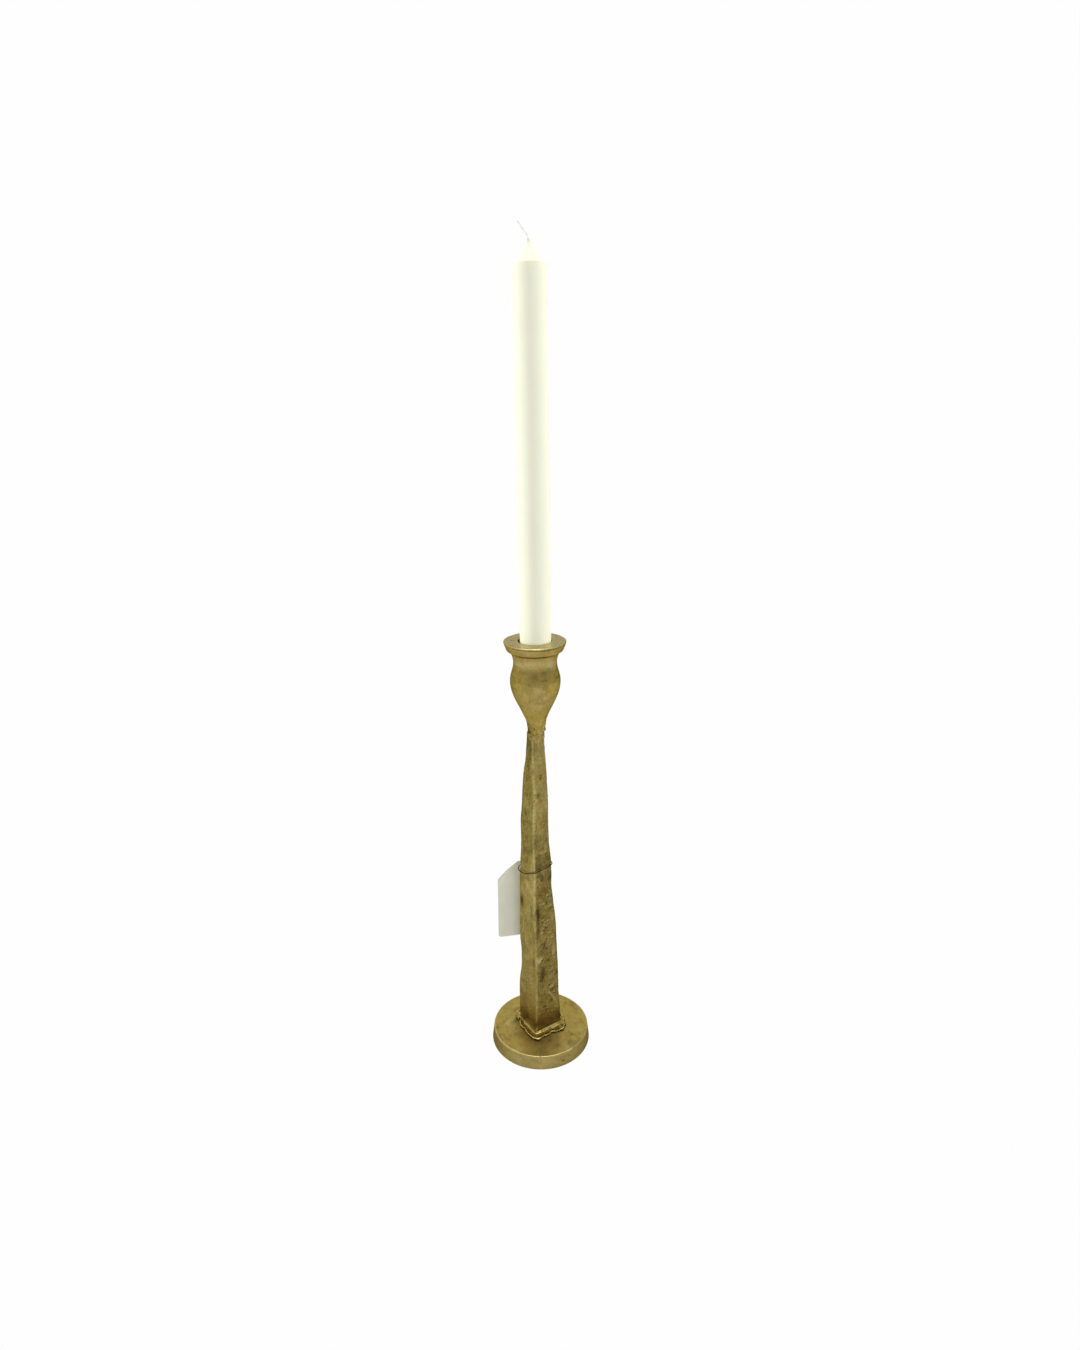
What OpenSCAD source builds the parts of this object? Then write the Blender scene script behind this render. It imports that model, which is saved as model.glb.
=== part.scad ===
// Cast-brass candlestick: a turned foot, a hand-worked square bar and a turned cup,
// with the dinner candle that stands in it and the swing tag tied round its stem.
// Origin: centre of the felt's underside. +Z up, -Y is the front, where one corner of the bar points.

/* [Overall] */
// Height from the table to the middle of the cup's rim
height = 338.5; // [300:0.5:410]

/* [Foot] */
// Diameter of the foot at the table
base_d = 79.2; // [73:0.1:110]
// Diameter of the foot's flat top
base_top_d = 76.5; // [73:0.5:106]
// Height of the foot's flat top above the table
base_t = 12; // [11.5:0.5:20]
// Radius on the foot's top and bottom edges
base_edge_r = 0.7; // [0.4:0.1:1.4]
// Diameter of the felt disc
felt_d = 70; // [50:0.5:71]
// Thickness of the felt disc
felt_t = 1.5; // [1:0.1:2.5]
// How far the felt stands below the brass
felt_proud = 0.3; // [0.2:0.1:0.8]

/* [Stem] */
// Side of the square bar where it meets the foot
foot_side = 24.9; // [24:0.1:31]
// Side of the square bar just above its flared end
shaft_side = 23.4; // [19.5:0.1:24]
// Side of the square bar under the cup
top_side = 10; // [9:0.1:12]
// Width of the flat that wear has left on the bar's long corners
corner_flat = 1.1; // [0.6:0.1:1.6]
// How far the bar stands behind the middle of the foot
stem_set_back = 3.5; // [0:0.5:4]
// How far the top of the bar stands to the left of the foot's middle
bar_lean = 4.1; // [0:0.1:6]

/* [Cup] */
// How far the cup's tail stands to the right of the top of the bar
cup_shift = 0.45; // [0:0.05:0.8]
// Angle that the cup leans to the left
cup_lean = 0.6; // [0:0.1:1]
// Length of the cup from its tail to its rim
cup_h = 70; // [60:1:84]
// Diameter of the rim
rim_d = 44.5; // [40:0.5:54]
// Diameter of the narrow neck under the rim
neck_d = 31.2; // [30:0.1:38]
// Diameter of the bulb
bulb_d = 36.3; // [33:0.1:44]
// Diameter of the tail where it meets the bar
tail_d = 12.4; // [12:0.1:16]
// Bore of the candle socket
socket_d = 24; // [22.8:0.1:25]
// Depth of the candle socket
socket_depth = 26; // [20:1:32]

/* [Brazing] */
// Width of the braze run along the foot of the bar
foot_braze_w = 5.5; // [4:0.5:7]
// Thickness of that run
foot_braze_t = 1.9; // [1.4:0.1:2.6]
// Height of the braze fillet under the cup's tail
neck_braze_h = 5; // [3:0.5:8]

/* [Fixings] */
// Diameter of the screw that holds the foot to the bar
screw_d = 6; // [5:1:6]
// Length of that screw under its head
screw_l = 22; // [18:1:26]
// Diameter of the stud between the bar and the cup
stud_d = 5; // [4:1:6]
// Length of that stud
stud_l = 20; // [16:1:24]

/* [Candle] */
// Diameter of the candle
candle_d = 22; // [20:0.5:22.2]
// Length of the wax from its butt to its tip
candle_l = 281; // [150:1:300]
// Height of the pointed tip
candle_tip_h = 13.5; // [8:0.5:20]
// Lean of the candle to the left, beyond the cup's own
candle_lean = 0.3; // [0:0.1:0.6]
// Share of the socket's side clearance that the candle stands over to the right
candle_shift = 0.65; // [0.2:0.05:0.8]
// Diameter of the braided wick
wick_d = 1.5; // [1:0.1:2]
// Length of wick above the tip
wick_out = 11; // [6:1:16]
// Angle that the free wick bends over
wick_bend = 36; // [0:1:60]

/* [Tag] */
// Width of the card
tag_w = 40; // [30:1:42]
// Length of the card
tag_l = 68; // [50:1:72]
// Thickness of the card
tag_t = 0.5; // [0.3:0.1:0.8]
// Width of each cut top corner
tag_cut_w = 16; // [8:1:16]
// Height of each cut top corner
tag_cut_h = 14; // [8:1:18]
// Diameter of the punched hole
tag_hole_d = 4; // [3.6:0.1:5]
// Diameter of the elastic cord
cord_d = 0.8; // [0.6:0.1:1]

/* [Hidden] */
$fn = 96;

brass = [0.62, 0.50, 0.23];
braze_metal = [0.74, 0.63, 0.33];
zinc = [0.70, 0.71, 0.72];
thread_gap = 0.05;   // between a thread's crests and the plain bore that stands for its nut thread
eps = 0.01;

// Stack in the foot, from the table up.
recess_z = felt_t;                      // floor of the felt's recess
head_h = 3.6;
head_d = 2 * screw_d;
head_gap = 0.6;                         // between the felt and the screw's head
spring_t = 1.6;
washer_t = 1.2;
washer_d = 2 * screw_d;
seat_z = recess_z + head_gap + head_h + spring_t + washer_t;   // face that the flat washer bears on
shank_z = seat_z - washer_t - spring_t;                        // underside of the shank, at the head
counterbore_d = washer_d + 2;
clear_d = screw_d + 0.6;

// Heights up the candlestick.
tail_z = height - cup_h;                // where the bar ends and the cup begins
braze_gap = 0.15;                       // film of filler between the end of the bar and the cup's tail
stem_l = tail_z - braze_gap - base_t;
tap_past = 2.3;                         // a tapped hole runs this far past its screw or stud
top_place = [-bar_lean, stem_set_back, tail_z];   // middle of the bar's top end

// Each row is one place up the bar: its share of the bar's length, the share of the taper still to
// go (1 at the shaft's full side, 0 at the top side), the turn of the front corner from the right,
// and the share of the lean reached. The bar was drawn out by hand, so the steps are uneven.
bar_rows = [
    [0.11, 1.00, 97, 0.30],
    [0.19, 0.92, 96, 0.32],
    [0.26, 0.87, 97, 0.42],
    [0.37, 0.80, 97.5, 0.60],
    [0.44, 0.70, 96, 0.85],
    [0.52, 0.63, 94, 0.94],
    [0.59, 0.56, 94, 1.00],
    [0.65, 0.44, 94.5, 1.12],
    [0.72, 0.42, 94, 1.20],
    [0.78, 0.34, 93, 1.10],
    [0.85, 0.27, 93.5, 1.12],
    [0.88, 0.22, 98, 1.10],
    [0.91, 0.13, 104, 1.00],
    [0.95, 0.06, 109, 1.00],
    [1.00, 0.00, 112, 1.00]
];
// The flared end: share of the length, share of the flare left, turn, share of the lean.
flare_rows = [[0, 1, 102, 0], [0.025, 0.5, 100, 0.15]];

function bar_side(share) = top_side + share * (shaft_side - top_side);
function flare_side(share) = shaft_side + share * (foot_side - shaft_side);
function bar_place(lean_share, h_share) = [-bar_lean * lean_share, stem_set_back, base_t + h_share * stem_l];

// One ring of eight points: a square of this side with its long corners worn to a flat.
function bar_ring(side, turn, place, flat = corner_flat) =
    let (half = side / 2,
         kept = half - flat / sqrt(2),
         reach = norm([half, kept]),
         spread = 45 - atan2(kept, half))
    [for (corner = [0:3]) for (cut = [-1, 1])
        place + reach * [cos(90 * corner - turn + cut * spread), sin(90 * corner - turn + cut * spread), 0]];
function bar_rings(grow = 0) = concat(
    [for (r = flare_rows) bar_ring(flare_side(r[1]) + 2 * grow, r[2], bar_place(r[3], r[0]))],
    [for (r = bar_rows) bar_ring(bar_side(r[1]) + 2 * grow, r[2], bar_place(r[3], r[0]))]
);

// A closed skin over rings that all have the same number of points.
module skin(rings) {
    n = len(rings[0]);
    last = len(rings) - 1;
    faces = concat(
        [[for (i = [0:n - 1]) i]],
        [for (k = [0:last - 1]) for (i = [0:n - 1]) let (j = (i + 1) % n) each [
            [k * n + i, (k + 1) * n + i, (k + 1) * n + j], [k * n + i, (k + 1) * n + j, k * n + j]]],
        [[for (i = [n - 1:-1:0]) last * n + i]]
    );
    polyhedron(points = [for (ring = rings) each ring], faces = faces, convexity = 4);
}

module bar_solid(grow = 0) skin(bar_rings(grow));

// A round body of revolution from [radius, height] points.
module turned(points) rotate_extrude() polygon(points);

module tube(outer_d, inner_d, h) difference() {
    cylinder(d = outer_d, h = h);
    translate([0, 0, -1]) cylinder(d = inner_d, h = h + 2);
}

// A threaded rod with ring-shaped ridges, one for each turn of a coarse thread.
module threaded(d, length, pitch) {
    root = d / 2 - 0.54 * pitch;
    turns = floor((length - pitch) / pitch);
    turned(concat(
        [[0, 0], [root, 0]],
        [for (k = [0:turns - 1]) each [
            [root, (k + 0.55) * pitch], [d / 2, (k + 0.90) * pitch],
            [d / 2, (k + 1.05) * pitch], [root, (k + 1.40) * pitch]]],
        [[root, length], [0, length]]
    ));
}

module base_disc() color(brass) {
    bottom_r = base_d / 2;
    top_r = base_top_d / 2;
    steps = 6;
    difference() {
        turned(concat(
            [[0, felt_proud], [bottom_r - base_edge_r, felt_proud]],
            [for (k = [1:steps]) let (a = -90 + 90 * k / steps)
                [bottom_r - base_edge_r + base_edge_r * cos(a), felt_proud + base_edge_r + base_edge_r * sin(a)]],
            [for (k = [0:steps - 1]) let (a = 90 * k / steps)
                [top_r - base_edge_r + base_edge_r * cos(a), base_t - base_edge_r + base_edge_r * sin(a)]],
            [[top_r - base_edge_r, base_t], [0, base_t]]
        ));
        cylinder(d = felt_d + 0.4, h = recess_z);
        translate([0, stem_set_back, 0]) {
            cylinder(d = counterbore_d, h = seat_z);
            cylinder(d = clear_d, h = base_t + 1);
        }
    }
}

module felt_pad() color([0.13, 0.14, 0.13]) cylinder(d = felt_d, h = felt_t);

module base_screw() color(zinc) translate([0, stem_set_back, shank_z]) {
    translate([0, 0, -head_h]) difference() {
        edge = 0.8;
        turned([[0, 0], [head_d / 2 - edge, 0], [head_d / 2, edge], [head_d / 2, head_h], [0, head_h]]);
        translate([-head_d, -0.8, -1]) cube([2 * head_d, 1.6, 3]);
    }
    translate([0, 0, -eps]) threaded(screw_d, screw_l + eps, 1);
}

module flat_washer() color(zinc)
    translate([0, stem_set_back, seat_z - washer_t]) tube(washer_d, screw_d + 0.4, washer_t);

module spring_washer() color(zinc) translate([0, stem_set_back, shank_z]) difference() {
    tube(washer_d - 0.2, screw_d + 0.2, spring_t);
    translate([screw_d / 2, 0, spring_t / 2]) rotate([30, 0, 0]) translate([0, -0.4, -3]) cube([screw_d, 0.8, 6]);
}

module stem() color(brass) difference() {
    bar_solid();
    translate([0, stem_set_back, base_t - 1])
        cylinder(d = screw_d + 2 * thread_gap, h = shank_z + screw_l + tap_past - base_t + 1);
    stud_bore();
}

// Filler metal run round the foot of the bar, highest against the bar, with a blunt outer edge.
module foot_braze() color(braze_metal) difference() {
    outer_flat = 4;
    edge_h = 1.2;
    place = bar_place(0, 0);
    skin([
        for (step = [[foot_braze_w - 0.2, 0], [foot_braze_w, 0.5], [foot_braze_w - 0.5, edge_h], [0.5, foot_braze_t]])
            bar_ring(foot_side + 2 * step[0], flare_rows[0][2], place + [0, 0, step[1]], outer_flat)
    ]);
    bar_solid(0.02);
}

// The cup's own frame has its origin in the middle of the rim, with the cup hanging below.
module cup_place() translate(top_place + [cup_shift, 0, 0]) rotate([0, -cup_lean, 0])
    translate([0, 0, cup_h]) children();

// Tapped hole for the stud, running down into the bar and up into the cup's tail.
module stud_bore() cup_place() translate([0, 0, -cup_h - stud_l / 2 - tap_past])
    cylinder(d = stud_d + 2 * thread_gap, h = stud_l + 2 * tap_past);

module neck_stud() color(zinc) cup_place() translate([0, 0, -cup_h - stud_l / 2]) threaded(stud_d, stud_l, 0.8);

// Filler metal under the cup's round tail, where it overhangs the flats of the square bar.
module neck_braze() color(braze_metal) difference() {
    cup_place() translate([0, 0, -cup_h - neck_braze_h])
        cylinder(r1 = top_side / 2 + 0.7, r2 = tail_d / 2 + 0.2, h = neck_braze_h - eps);
    bar_solid(0.02);
    stud_bore();
}

// Points down the outside of the cup as [radius, depth under the rim].
function swing(from, to, t) = from + (to - from) * (1 - cos(180 * t)) / 2;
rim_lip_t = 1.1;          // plain edge at the top of the rim
rim_groove = 0.5;         // turned line under that edge
rim_band_h = 6.6;         // depth of the sloping band's lower edge
rim_band_in = 2.3;        // how much narrower the band ends
neck_depth = 15.5;
bulb_depth = 29.5;
tail_straight = 2;        // plain length at the tail
under_rim_r = neck_d / 2 + 2.1;
under_rim_depth = 8;
cup_curve = concat(
    [[socket_d / 2, 0], [rim_d / 2 - 0.4, 0], [rim_d / 2, 0.4], [rim_d / 2, rim_lip_t],
     [rim_d / 2 - rim_groove, rim_lip_t + 0.4], [rim_d / 2 - rim_groove / 2, rim_lip_t + 0.9],
     [rim_d / 2 - rim_band_in + 0.3, rim_band_h - 0.4], [rim_d / 2 - rim_band_in - 0.1, rim_band_h]],
    [for (k = [0:6]) let (t = k / 6)
        [neck_d / 2 + (under_rim_r - neck_d / 2) * (1 - t) * (1 - t),
         under_rim_depth + t * (neck_depth - under_rim_depth)]],
    [for (k = [1:8]) [swing(neck_d, bulb_d, k / 8) / 2, neck_depth + k / 8 * (bulb_depth - neck_depth)]],
    [for (k = [1:16]) [swing(bulb_d, tail_d, k / 16) / 2,
        bulb_depth + k / 16 * (cup_h - tail_straight - bulb_depth)]],
    [[tail_d / 2, cup_h], [0, cup_h], [0, socket_depth], [socket_d / 2, socket_depth]]
);

module candle_cup() color(brass) difference() {
    cup_place() turned([for (p = cup_curve) [p[0], -p[1]]]);
    stud_bore();
}

// The candle's own frame: its butt stands on the socket's floor.
side_clearance = (socket_d - candle_d) / 2;
butt_gap = 0.05 + sin(candle_lean) * candle_d / 2;
wick_gap = 0.05;
module candle_place() cup_place()
    translate([candle_shift * side_clearance, 0, -socket_depth + butt_gap])
    rotate([0, -candle_lean, 0]) children();

module candle_wax() color([0.93, 0.93, 0.80]) candle_place() {
    shoulder = candle_l - candle_tip_h;
    steps = 8;
    tip_r = wick_d / 2 + 0.35;
    bore_r = wick_d / 2 + wick_gap;
    butt = 1.2;
    turned(concat(
        [[bore_r, 0], [candle_d / 2 - butt, 0], [candle_d / 2, butt], [candle_d / 2, shoulder - 0.3],
         [candle_d / 2 - 0.3, shoulder]],
        [for (k = [1:steps]) let (t = k / steps)
            [tip_r + (candle_d / 2 - 0.3 - tip_r) * pow(1 - t, 1.5), shoulder + t * candle_tip_h]],
        [[bore_r, candle_l]]
    ));
}

module candle_wick() color([0.95, 0.95, 0.88]) candle_place() {
    cylinder(d = wick_d, h = candle_l + 0.6, $fn = 24);
    translate([0, 0, candle_l + 0.6]) {
        sphere(d = wick_d, $fn = 24);
        rotate([0, -wick_bend, 0]) cylinder(d1 = wick_d, d2 = wick_d * 0.85, h = wick_out, $fn = 24);
    }
}

// The tag's own frame: the card hangs behind the stem, turned in plan, origin at mid top edge.
tag_turn = 14;
tie_share = 0.55783;                          // share of the bar's length where the cord grips it
tie_z = base_t + tie_share * stem_l;
tag_top = [-14.6, 15.3, tie_z];
tag_corner = 1.6;                             // cut on the two lower corners
hole_drop = 4.5;                              // from the top edge to the hole's centre
lip_mid = (hole_drop - tag_hole_d / 2) / 2;   // middle of the card between the edge and the hole
module tag_place() translate(tag_top) rotate([0, 0, tag_turn]) children();

module hang_tag() color([0.90, 0.90, 0.87]) tag_place() rotate([90, 0, 0])
    linear_extrude(height = tag_t, center = true) difference() {
        half = tag_w / 2;
        polygon([
            [-half + tag_cut_w, 0], [-half, -tag_cut_h], [-half, tag_corner - tag_l], [tag_corner - half, -tag_l],
            [half - tag_corner, -tag_l], [half, tag_corner - tag_l], [half, -tag_cut_h], [half - tag_cut_w, 0]]);
        translate([0, -hole_drop]) circle(d = tag_hole_d);
    }

// The cord's own hitch round the card's lip, with the knot that closes the loop on the stem's side.
hitch_r = lip_mid + cord_d / 2 + 0.15;
knot_d = 2.2;
knot_y = -hitch_r - knot_d / 4;
module tag_hitch() color([0.20, 0.12, 0.10]) tag_place() translate([0, 0, -lip_mid]) {
    rotate([90, 0, 90]) rotate_extrude($fn = 48) translate([hitch_r, 0]) circle(d = cord_d, $fn = 16);
    translate([0, knot_y, 0]) sphere(d = knot_d, $fn = 32);
}

// Route of the elastic cord, from the knot round the bar's four corners and back to the knot, with
// heights from the tag's top edge.
cord_route = [for (p = [
    [-14.6, 12.0, -1.1], [-15.8, 10.0, -0.8], [-17.2, 6.8, -0.6], [-17.3, 4.2, -1.1],
    [-16.2, 2.2, -1.5], [-13.7, -0.7, -1.5], [-11.2, -3.6, -0.6], [-7.6, -7.6, 2.1],
    [-5.0, -9.6, 3.6], [-3.5, -9.1, 3.9], [2.0, -4.2, 3.9], [6.9, 0.2, 4.1],
    [8.8, 2.5, 4.6], [8.4, 4.8, 5.2], [4.2, 9.4, 5.6], [0.2, 14.0, 5.2],
    [-2.6, 16.5, 4.3], [-5.2, 16.3, 3.0], [-9.6, 15.0, 0.8], [-13.1, 13.5, -0.8]
]) p + [0, 0, tie_z]];
function spline_point(p, i, t) =
    let (last = len(p) - 1,
         a = p[max(i - 1, 0)], b = p[i], c = p[min(i + 1, last)], d = p[min(i + 2, last)])
    0.5 * (2 * b + t * (c - a) + t * t * (2 * a - 5 * b + 4 * c - d) + t * t * t * (3 * b - a - 3 * c + d));
function smooth_path(p, per) = concat(
    [for (i = [0:len(p) - 2]) for (k = [0:per - 1]) spline_point(p, i, k / per)], [p[len(p) - 1]]);
function unit(v) = v / norm(v);

module cord_tube(path, d, sides) {
    last = len(path) - 1;
    skin([for (i = [0:last])
        let (along = unit(path[min(i + 1, last)] - path[max(i - 1, 0)]),
             side = unit(cross(along, [0, 0, 1])),
             up = cross(side, along))
        [for (k = [0:sides - 1]) let (a = -360 * k / sides)
            path[i] + d / 2 * (cos(a) * side + sin(a) * up)]]);
}

module tag_cord() color([0.20, 0.12, 0.10]) cord_tube(smooth_path(cord_route, 2), cord_d, 8);

base_disc();
felt_pad();
base_screw();
flat_washer();
spring_washer();
stem();
foot_braze();
neck_stud();
neck_braze();
candle_cup();
candle_wax();
candle_wick();
tag_cord();
tag_hitch();
hang_tag();
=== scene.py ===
# %% [markdown]
# # A brass candlestick, piece by piece
# The candlestick is a round turned foot, a square bar drawn down by hand, and a turned cup, run
# together with filler metal. A dinner candle stands in the cup, and a swing tag hangs on a thin
# elastic cord tied round the bar. The CAD pieces come in from model.glb. Each step below makes one
# piece or one finish in finer detail and lets it ride on its CAD body.

import math

import bmesh
import bpy
import numpy as np
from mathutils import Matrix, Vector


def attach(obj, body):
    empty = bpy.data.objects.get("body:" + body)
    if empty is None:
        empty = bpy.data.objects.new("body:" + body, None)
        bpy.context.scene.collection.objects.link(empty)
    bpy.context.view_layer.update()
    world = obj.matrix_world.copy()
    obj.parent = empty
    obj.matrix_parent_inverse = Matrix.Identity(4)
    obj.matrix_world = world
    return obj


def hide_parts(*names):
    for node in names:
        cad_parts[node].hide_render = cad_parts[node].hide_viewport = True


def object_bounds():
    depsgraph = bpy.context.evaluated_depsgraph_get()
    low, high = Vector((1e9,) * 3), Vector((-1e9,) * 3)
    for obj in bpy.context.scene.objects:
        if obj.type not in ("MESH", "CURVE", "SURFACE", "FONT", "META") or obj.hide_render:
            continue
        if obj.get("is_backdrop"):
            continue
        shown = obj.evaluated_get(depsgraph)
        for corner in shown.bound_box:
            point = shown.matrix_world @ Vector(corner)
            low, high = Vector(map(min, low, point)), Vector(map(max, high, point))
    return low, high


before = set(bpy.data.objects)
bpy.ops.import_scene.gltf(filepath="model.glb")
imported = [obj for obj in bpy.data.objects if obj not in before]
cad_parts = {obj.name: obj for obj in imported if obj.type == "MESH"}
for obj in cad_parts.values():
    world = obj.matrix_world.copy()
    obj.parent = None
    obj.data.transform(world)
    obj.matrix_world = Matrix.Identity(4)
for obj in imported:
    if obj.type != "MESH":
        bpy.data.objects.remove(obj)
cad_box = [list(corner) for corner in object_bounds()]
MM = 0.001

# %% [markdown]
# ## Camera first
# The viewer stands a little over half a metre in front and half a metre above the table, looking
# down by about 19 degrees through a wide lens. That is why the foot shows a full ellipse while the
# rim is seen almost edge on. The camera is placed first, so that every later step can be looked at
# from the same place.

# %% Camera
eye, look_down, lens = (-0.000353, -0.5777, 0.5102), 18.86, 22.933
camera_data = bpy.data.cameras.new("camera")
camera_data.lens = lens
camera_data.sensor_width = 36
camera_data.sensor_fit = "AUTO"
camera_data.shift_x = -0.00037
camera_data.shift_y = 0.00111
camera_data.clip_start = 0.01
camera = bpy.data.objects.new("camera", camera_data)
camera.location = eye
camera.rotation_euler = (math.radians(90 - look_down), 0, 0)
bpy.context.scene.collection.objects.link(camera)
bpy.context.scene.camera = camera
bpy.context.scene.view_settings.view_transform = "Standard"
bpy.context.scene.view_settings.look = "None"
print("camera", [round(v, 4) for v in camera.location])

# %% [markdown]
# ## Soft white studio
# Brass shows what it reflects, so the room matters as much as the metal. A white sweep fills the
# background, the light is soft from both sides and from behind, and the side that the viewer
# stands on is darker. One world shader can do this: its brightness follows the direction, with one
# set of levels for what polished metal mirrors and another for what lights the matt wax and card.

# %% Small helper: a chain of shader nodes
class Nodes:
    """Adds nodes to one tree and links them in one line each."""

    def __init__(self, tree):
        self.tree = tree

    def add(self, kind, settings=None, **inputs):
        node = self.tree.nodes.new(kind)
        for key, value in (settings or {}).items():
            setattr(node, key, value)
        for key, value in inputs.items():
            self.put(node, key.replace("_", " "), value)
        return node

    def put(self, node, key, value):
        socket = node.inputs[int(key)] if str(key).isdigit() else node.inputs[key]
        if isinstance(value, bpy.types.NodeSocket):
            self.tree.links.new(value, socket)
        else:
            socket.default_value = value

    def math(self, operation, a, b=0.0, c=None, clamp=False):
        node = self.add("ShaderNodeMath", {"operation": operation, "use_clamp": clamp})
        self.put(node, 0, a)
        self.put(node, 1, b)
        if c is not None:
            self.put(node, 2, c)
        return node.outputs[0]

    def mix(self, amount, a, b, blend="MIX"):
        node = self.add("ShaderNodeMix", {"data_type": "RGBA", "blend_type": blend})
        self.put(node, 0, amount)
        self.put(node, 6, a if isinstance(a, bpy.types.NodeSocket) else (*a, 1))
        self.put(node, 7, b if isinstance(b, bpy.types.NodeSocket) else (*b, 1))
        return node.outputs[2]

    def spread(self, value, low, high, to_low=0.0, to_high=1.0):
        node = self.add("ShaderNodeMapRange", {"clamp": True})
        for key, entry in zip(range(5), (value, low, high, to_low, to_high)):
            self.put(node, key, entry)
        return node.outputs[0]

    def noise(self, at, scale, detail, roughness=0.5, distortion=0.0):
        settings = {"Scale": scale, "Detail": detail, "Roughness": roughness, "Distortion": distortion}
        return self.add("ShaderNodeTexNoise", Vector=at, **settings).outputs["Fac"]

    def painted(self, name):
        return self.add("ShaderNodeAttribute", {"attribute_name": name}).outputs["Fac"]


# %% World light: what polished metal mirrors
white_level = 0.991
front_dark, front_high, ceiling = 0.32, 0.62, 1.0
left_level, right_level = 1.20, 0.81
world = bpy.data.worlds.new("studio")
bpy.context.scene.world = world
world.use_nodes = True
sky = Nodes(world.node_tree)
world.node_tree.nodes.clear()
direction = sky.add("ShaderNodeTexCoord").outputs["Generated"]
across, toward, upward = sky.add("ShaderNodeSeparateXYZ", Vector=direction).outputs
backness = sky.spread(toward, -0.75, 0.55)
mirrored = sky.math("MULTIPLY_ADD", backness, front_high - front_dark, front_dark)
mirrored = sky.math("MULTIPLY", mirrored, sky.spread(across, -0.9, 0.9, left_level, right_level))
mirrored = sky.math("MULTIPLY_ADD", sky.spread(upward, 0.72, 0.95), ceiling, mirrored)
print(f"mirrored room: {front_dark} in front, {front_high} behind, {ceiling} more overhead")

# %% World light: what lights the matt pieces
soft_front, soft_back, low_level, high_level = 1.00, 1.14, 1.21, 0.70
lighting = sky.math("MULTIPLY_ADD", backness, soft_back - soft_front, soft_front)
lighting = sky.math("MULTIPLY", lighting, sky.spread(upward, 0.25, 0.95, low_level, high_level))
print(f"matt light: {soft_front} in front, {soft_back} behind")

# %% World light: one level for each kind of ray
path = sky.add("ShaderNodeLightPath")
see_mirrored = sky.add("ShaderNodeBackground", Color=(1, 1, 1, 1), Strength=mirrored)
see_lighting = sky.add("ShaderNodeBackground", Color=(1, 1, 1, 1), Strength=lighting)
see_white = sky.add("ShaderNodeBackground", Color=(1, 1, 1, 1), Strength=white_level)
by_ray = sky.add("ShaderNodeMixShader")
sky.put(by_ray, 0, path.outputs["Is Glossy Ray"])
sky.put(by_ray, 1, see_lighting.outputs[0])
sky.put(by_ray, 2, see_mirrored.outputs[0])
final = sky.add("ShaderNodeMixShader")
sky.put(final, 0, path.outputs["Is Camera Ray"])
sky.put(final, 1, by_ray.outputs[0])
sky.put(final, 2, see_white.outputs[0])
sky.put(sky.add("ShaderNodeOutputWorld"), "Surface", final.outputs[0])
print("world:", len(world.node_tree.nodes), "nodes")


# %% Soft lamps
def soft_lamp(name, place, aim, size, power, mirrored_too=True):
    data = bpy.data.lights.new(name, "AREA")
    data.shape = "DISK"
    data.size = size
    data.energy = power
    lamp = bpy.data.objects.new(name, data)
    lamp.location = place
    lamp.rotation_euler = (Vector(aim) - Vector(place)).to_track_quat("-Z", "Y").to_euler()
    lamp.visible_glossy = mirrored_too
    bpy.context.scene.collection.objects.link(lamp)


soft_lamp("left_lamp", (-1.5, 0.1, 1.0), (0, 0, 0.45), 0.9, 12, False)
soft_lamp("right_lamp", (1.5, 0.2, 1.0), (0, 0, 0.45), 0.9, 9, False)
soft_lamp("top_lamp", (0.0, -0.2, 1.9), (0, 0, 0.1), 0.8, 5)
bpy.data.objects["top_lamp"].visible_diffuse = False

# %% [markdown]
# ## Floor
# The sweep looks white, but what it throws back on to the object is a pale grey, as from a large
# sheet of paper. It is solid from above only. Matt light also passes through it over the last few
# millimetres, so that the felt under the foot is lit when the object is seen from below.

# %% Floor
reach, paper_grey, clear_below = 6.0, 0.44, 12 * MM
floor_mesh = bpy.data.meshes.new("floor")
floor_corners = [(-reach, -reach, 0), (reach, -reach, 0), (reach, reach, 0), (-reach, reach, 0)]
floor_mesh.from_pydata(floor_corners, [], [(0, 1, 2, 3)])
floor = bpy.data.objects.new("floor", floor_mesh)
bpy.context.scene.collection.objects.link(floor)
floor_look = bpy.data.materials.new("white_sweep")
floor_look.use_nodes = True
floor_look.node_tree.nodes.clear()
fl = Nodes(floor_look.node_tree)
ray = fl.add("ShaderNodeLightPath").outputs
floor_pale = fl.add("ShaderNodeBsdfDiffuse", Color=(paper_grey, paper_grey, paper_grey, 1))
floor_white = fl.add("ShaderNodeEmission", Color=(1, 1, 1, 1), Strength=white_level)
floor_mix = fl.add("ShaderNodeMixShader")
fl.put(floor_mix, 0, ray["Is Camera Ray"])
fl.put(floor_mix, 1, floor_pale.outputs[0])
fl.put(floor_mix, 2, floor_white.outputs[0])
close_by = fl.math("MULTIPLY", fl.math("LESS_THAN", ray["Ray Length"], clear_below), ray["Is Diffuse Ray"])
from_below = fl.add("ShaderNodeNewGeometry").outputs["Backfacing"]
floor_clear = fl.add("ShaderNodeMixShader")
fl.put(floor_clear, 0, fl.math("MAXIMUM", close_by, from_below))
fl.put(floor_clear, 1, floor_mix.outputs[0])
fl.put(floor_clear, 2, fl.add("ShaderNodeBsdfTransparent").outputs[0])
fl.put(fl.add("ShaderNodeOutputMaterial"), "Surface", floor_clear.outputs[0])
floor.data.materials.append(floor_look)
floor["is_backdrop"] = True
print("studio ready")
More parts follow.
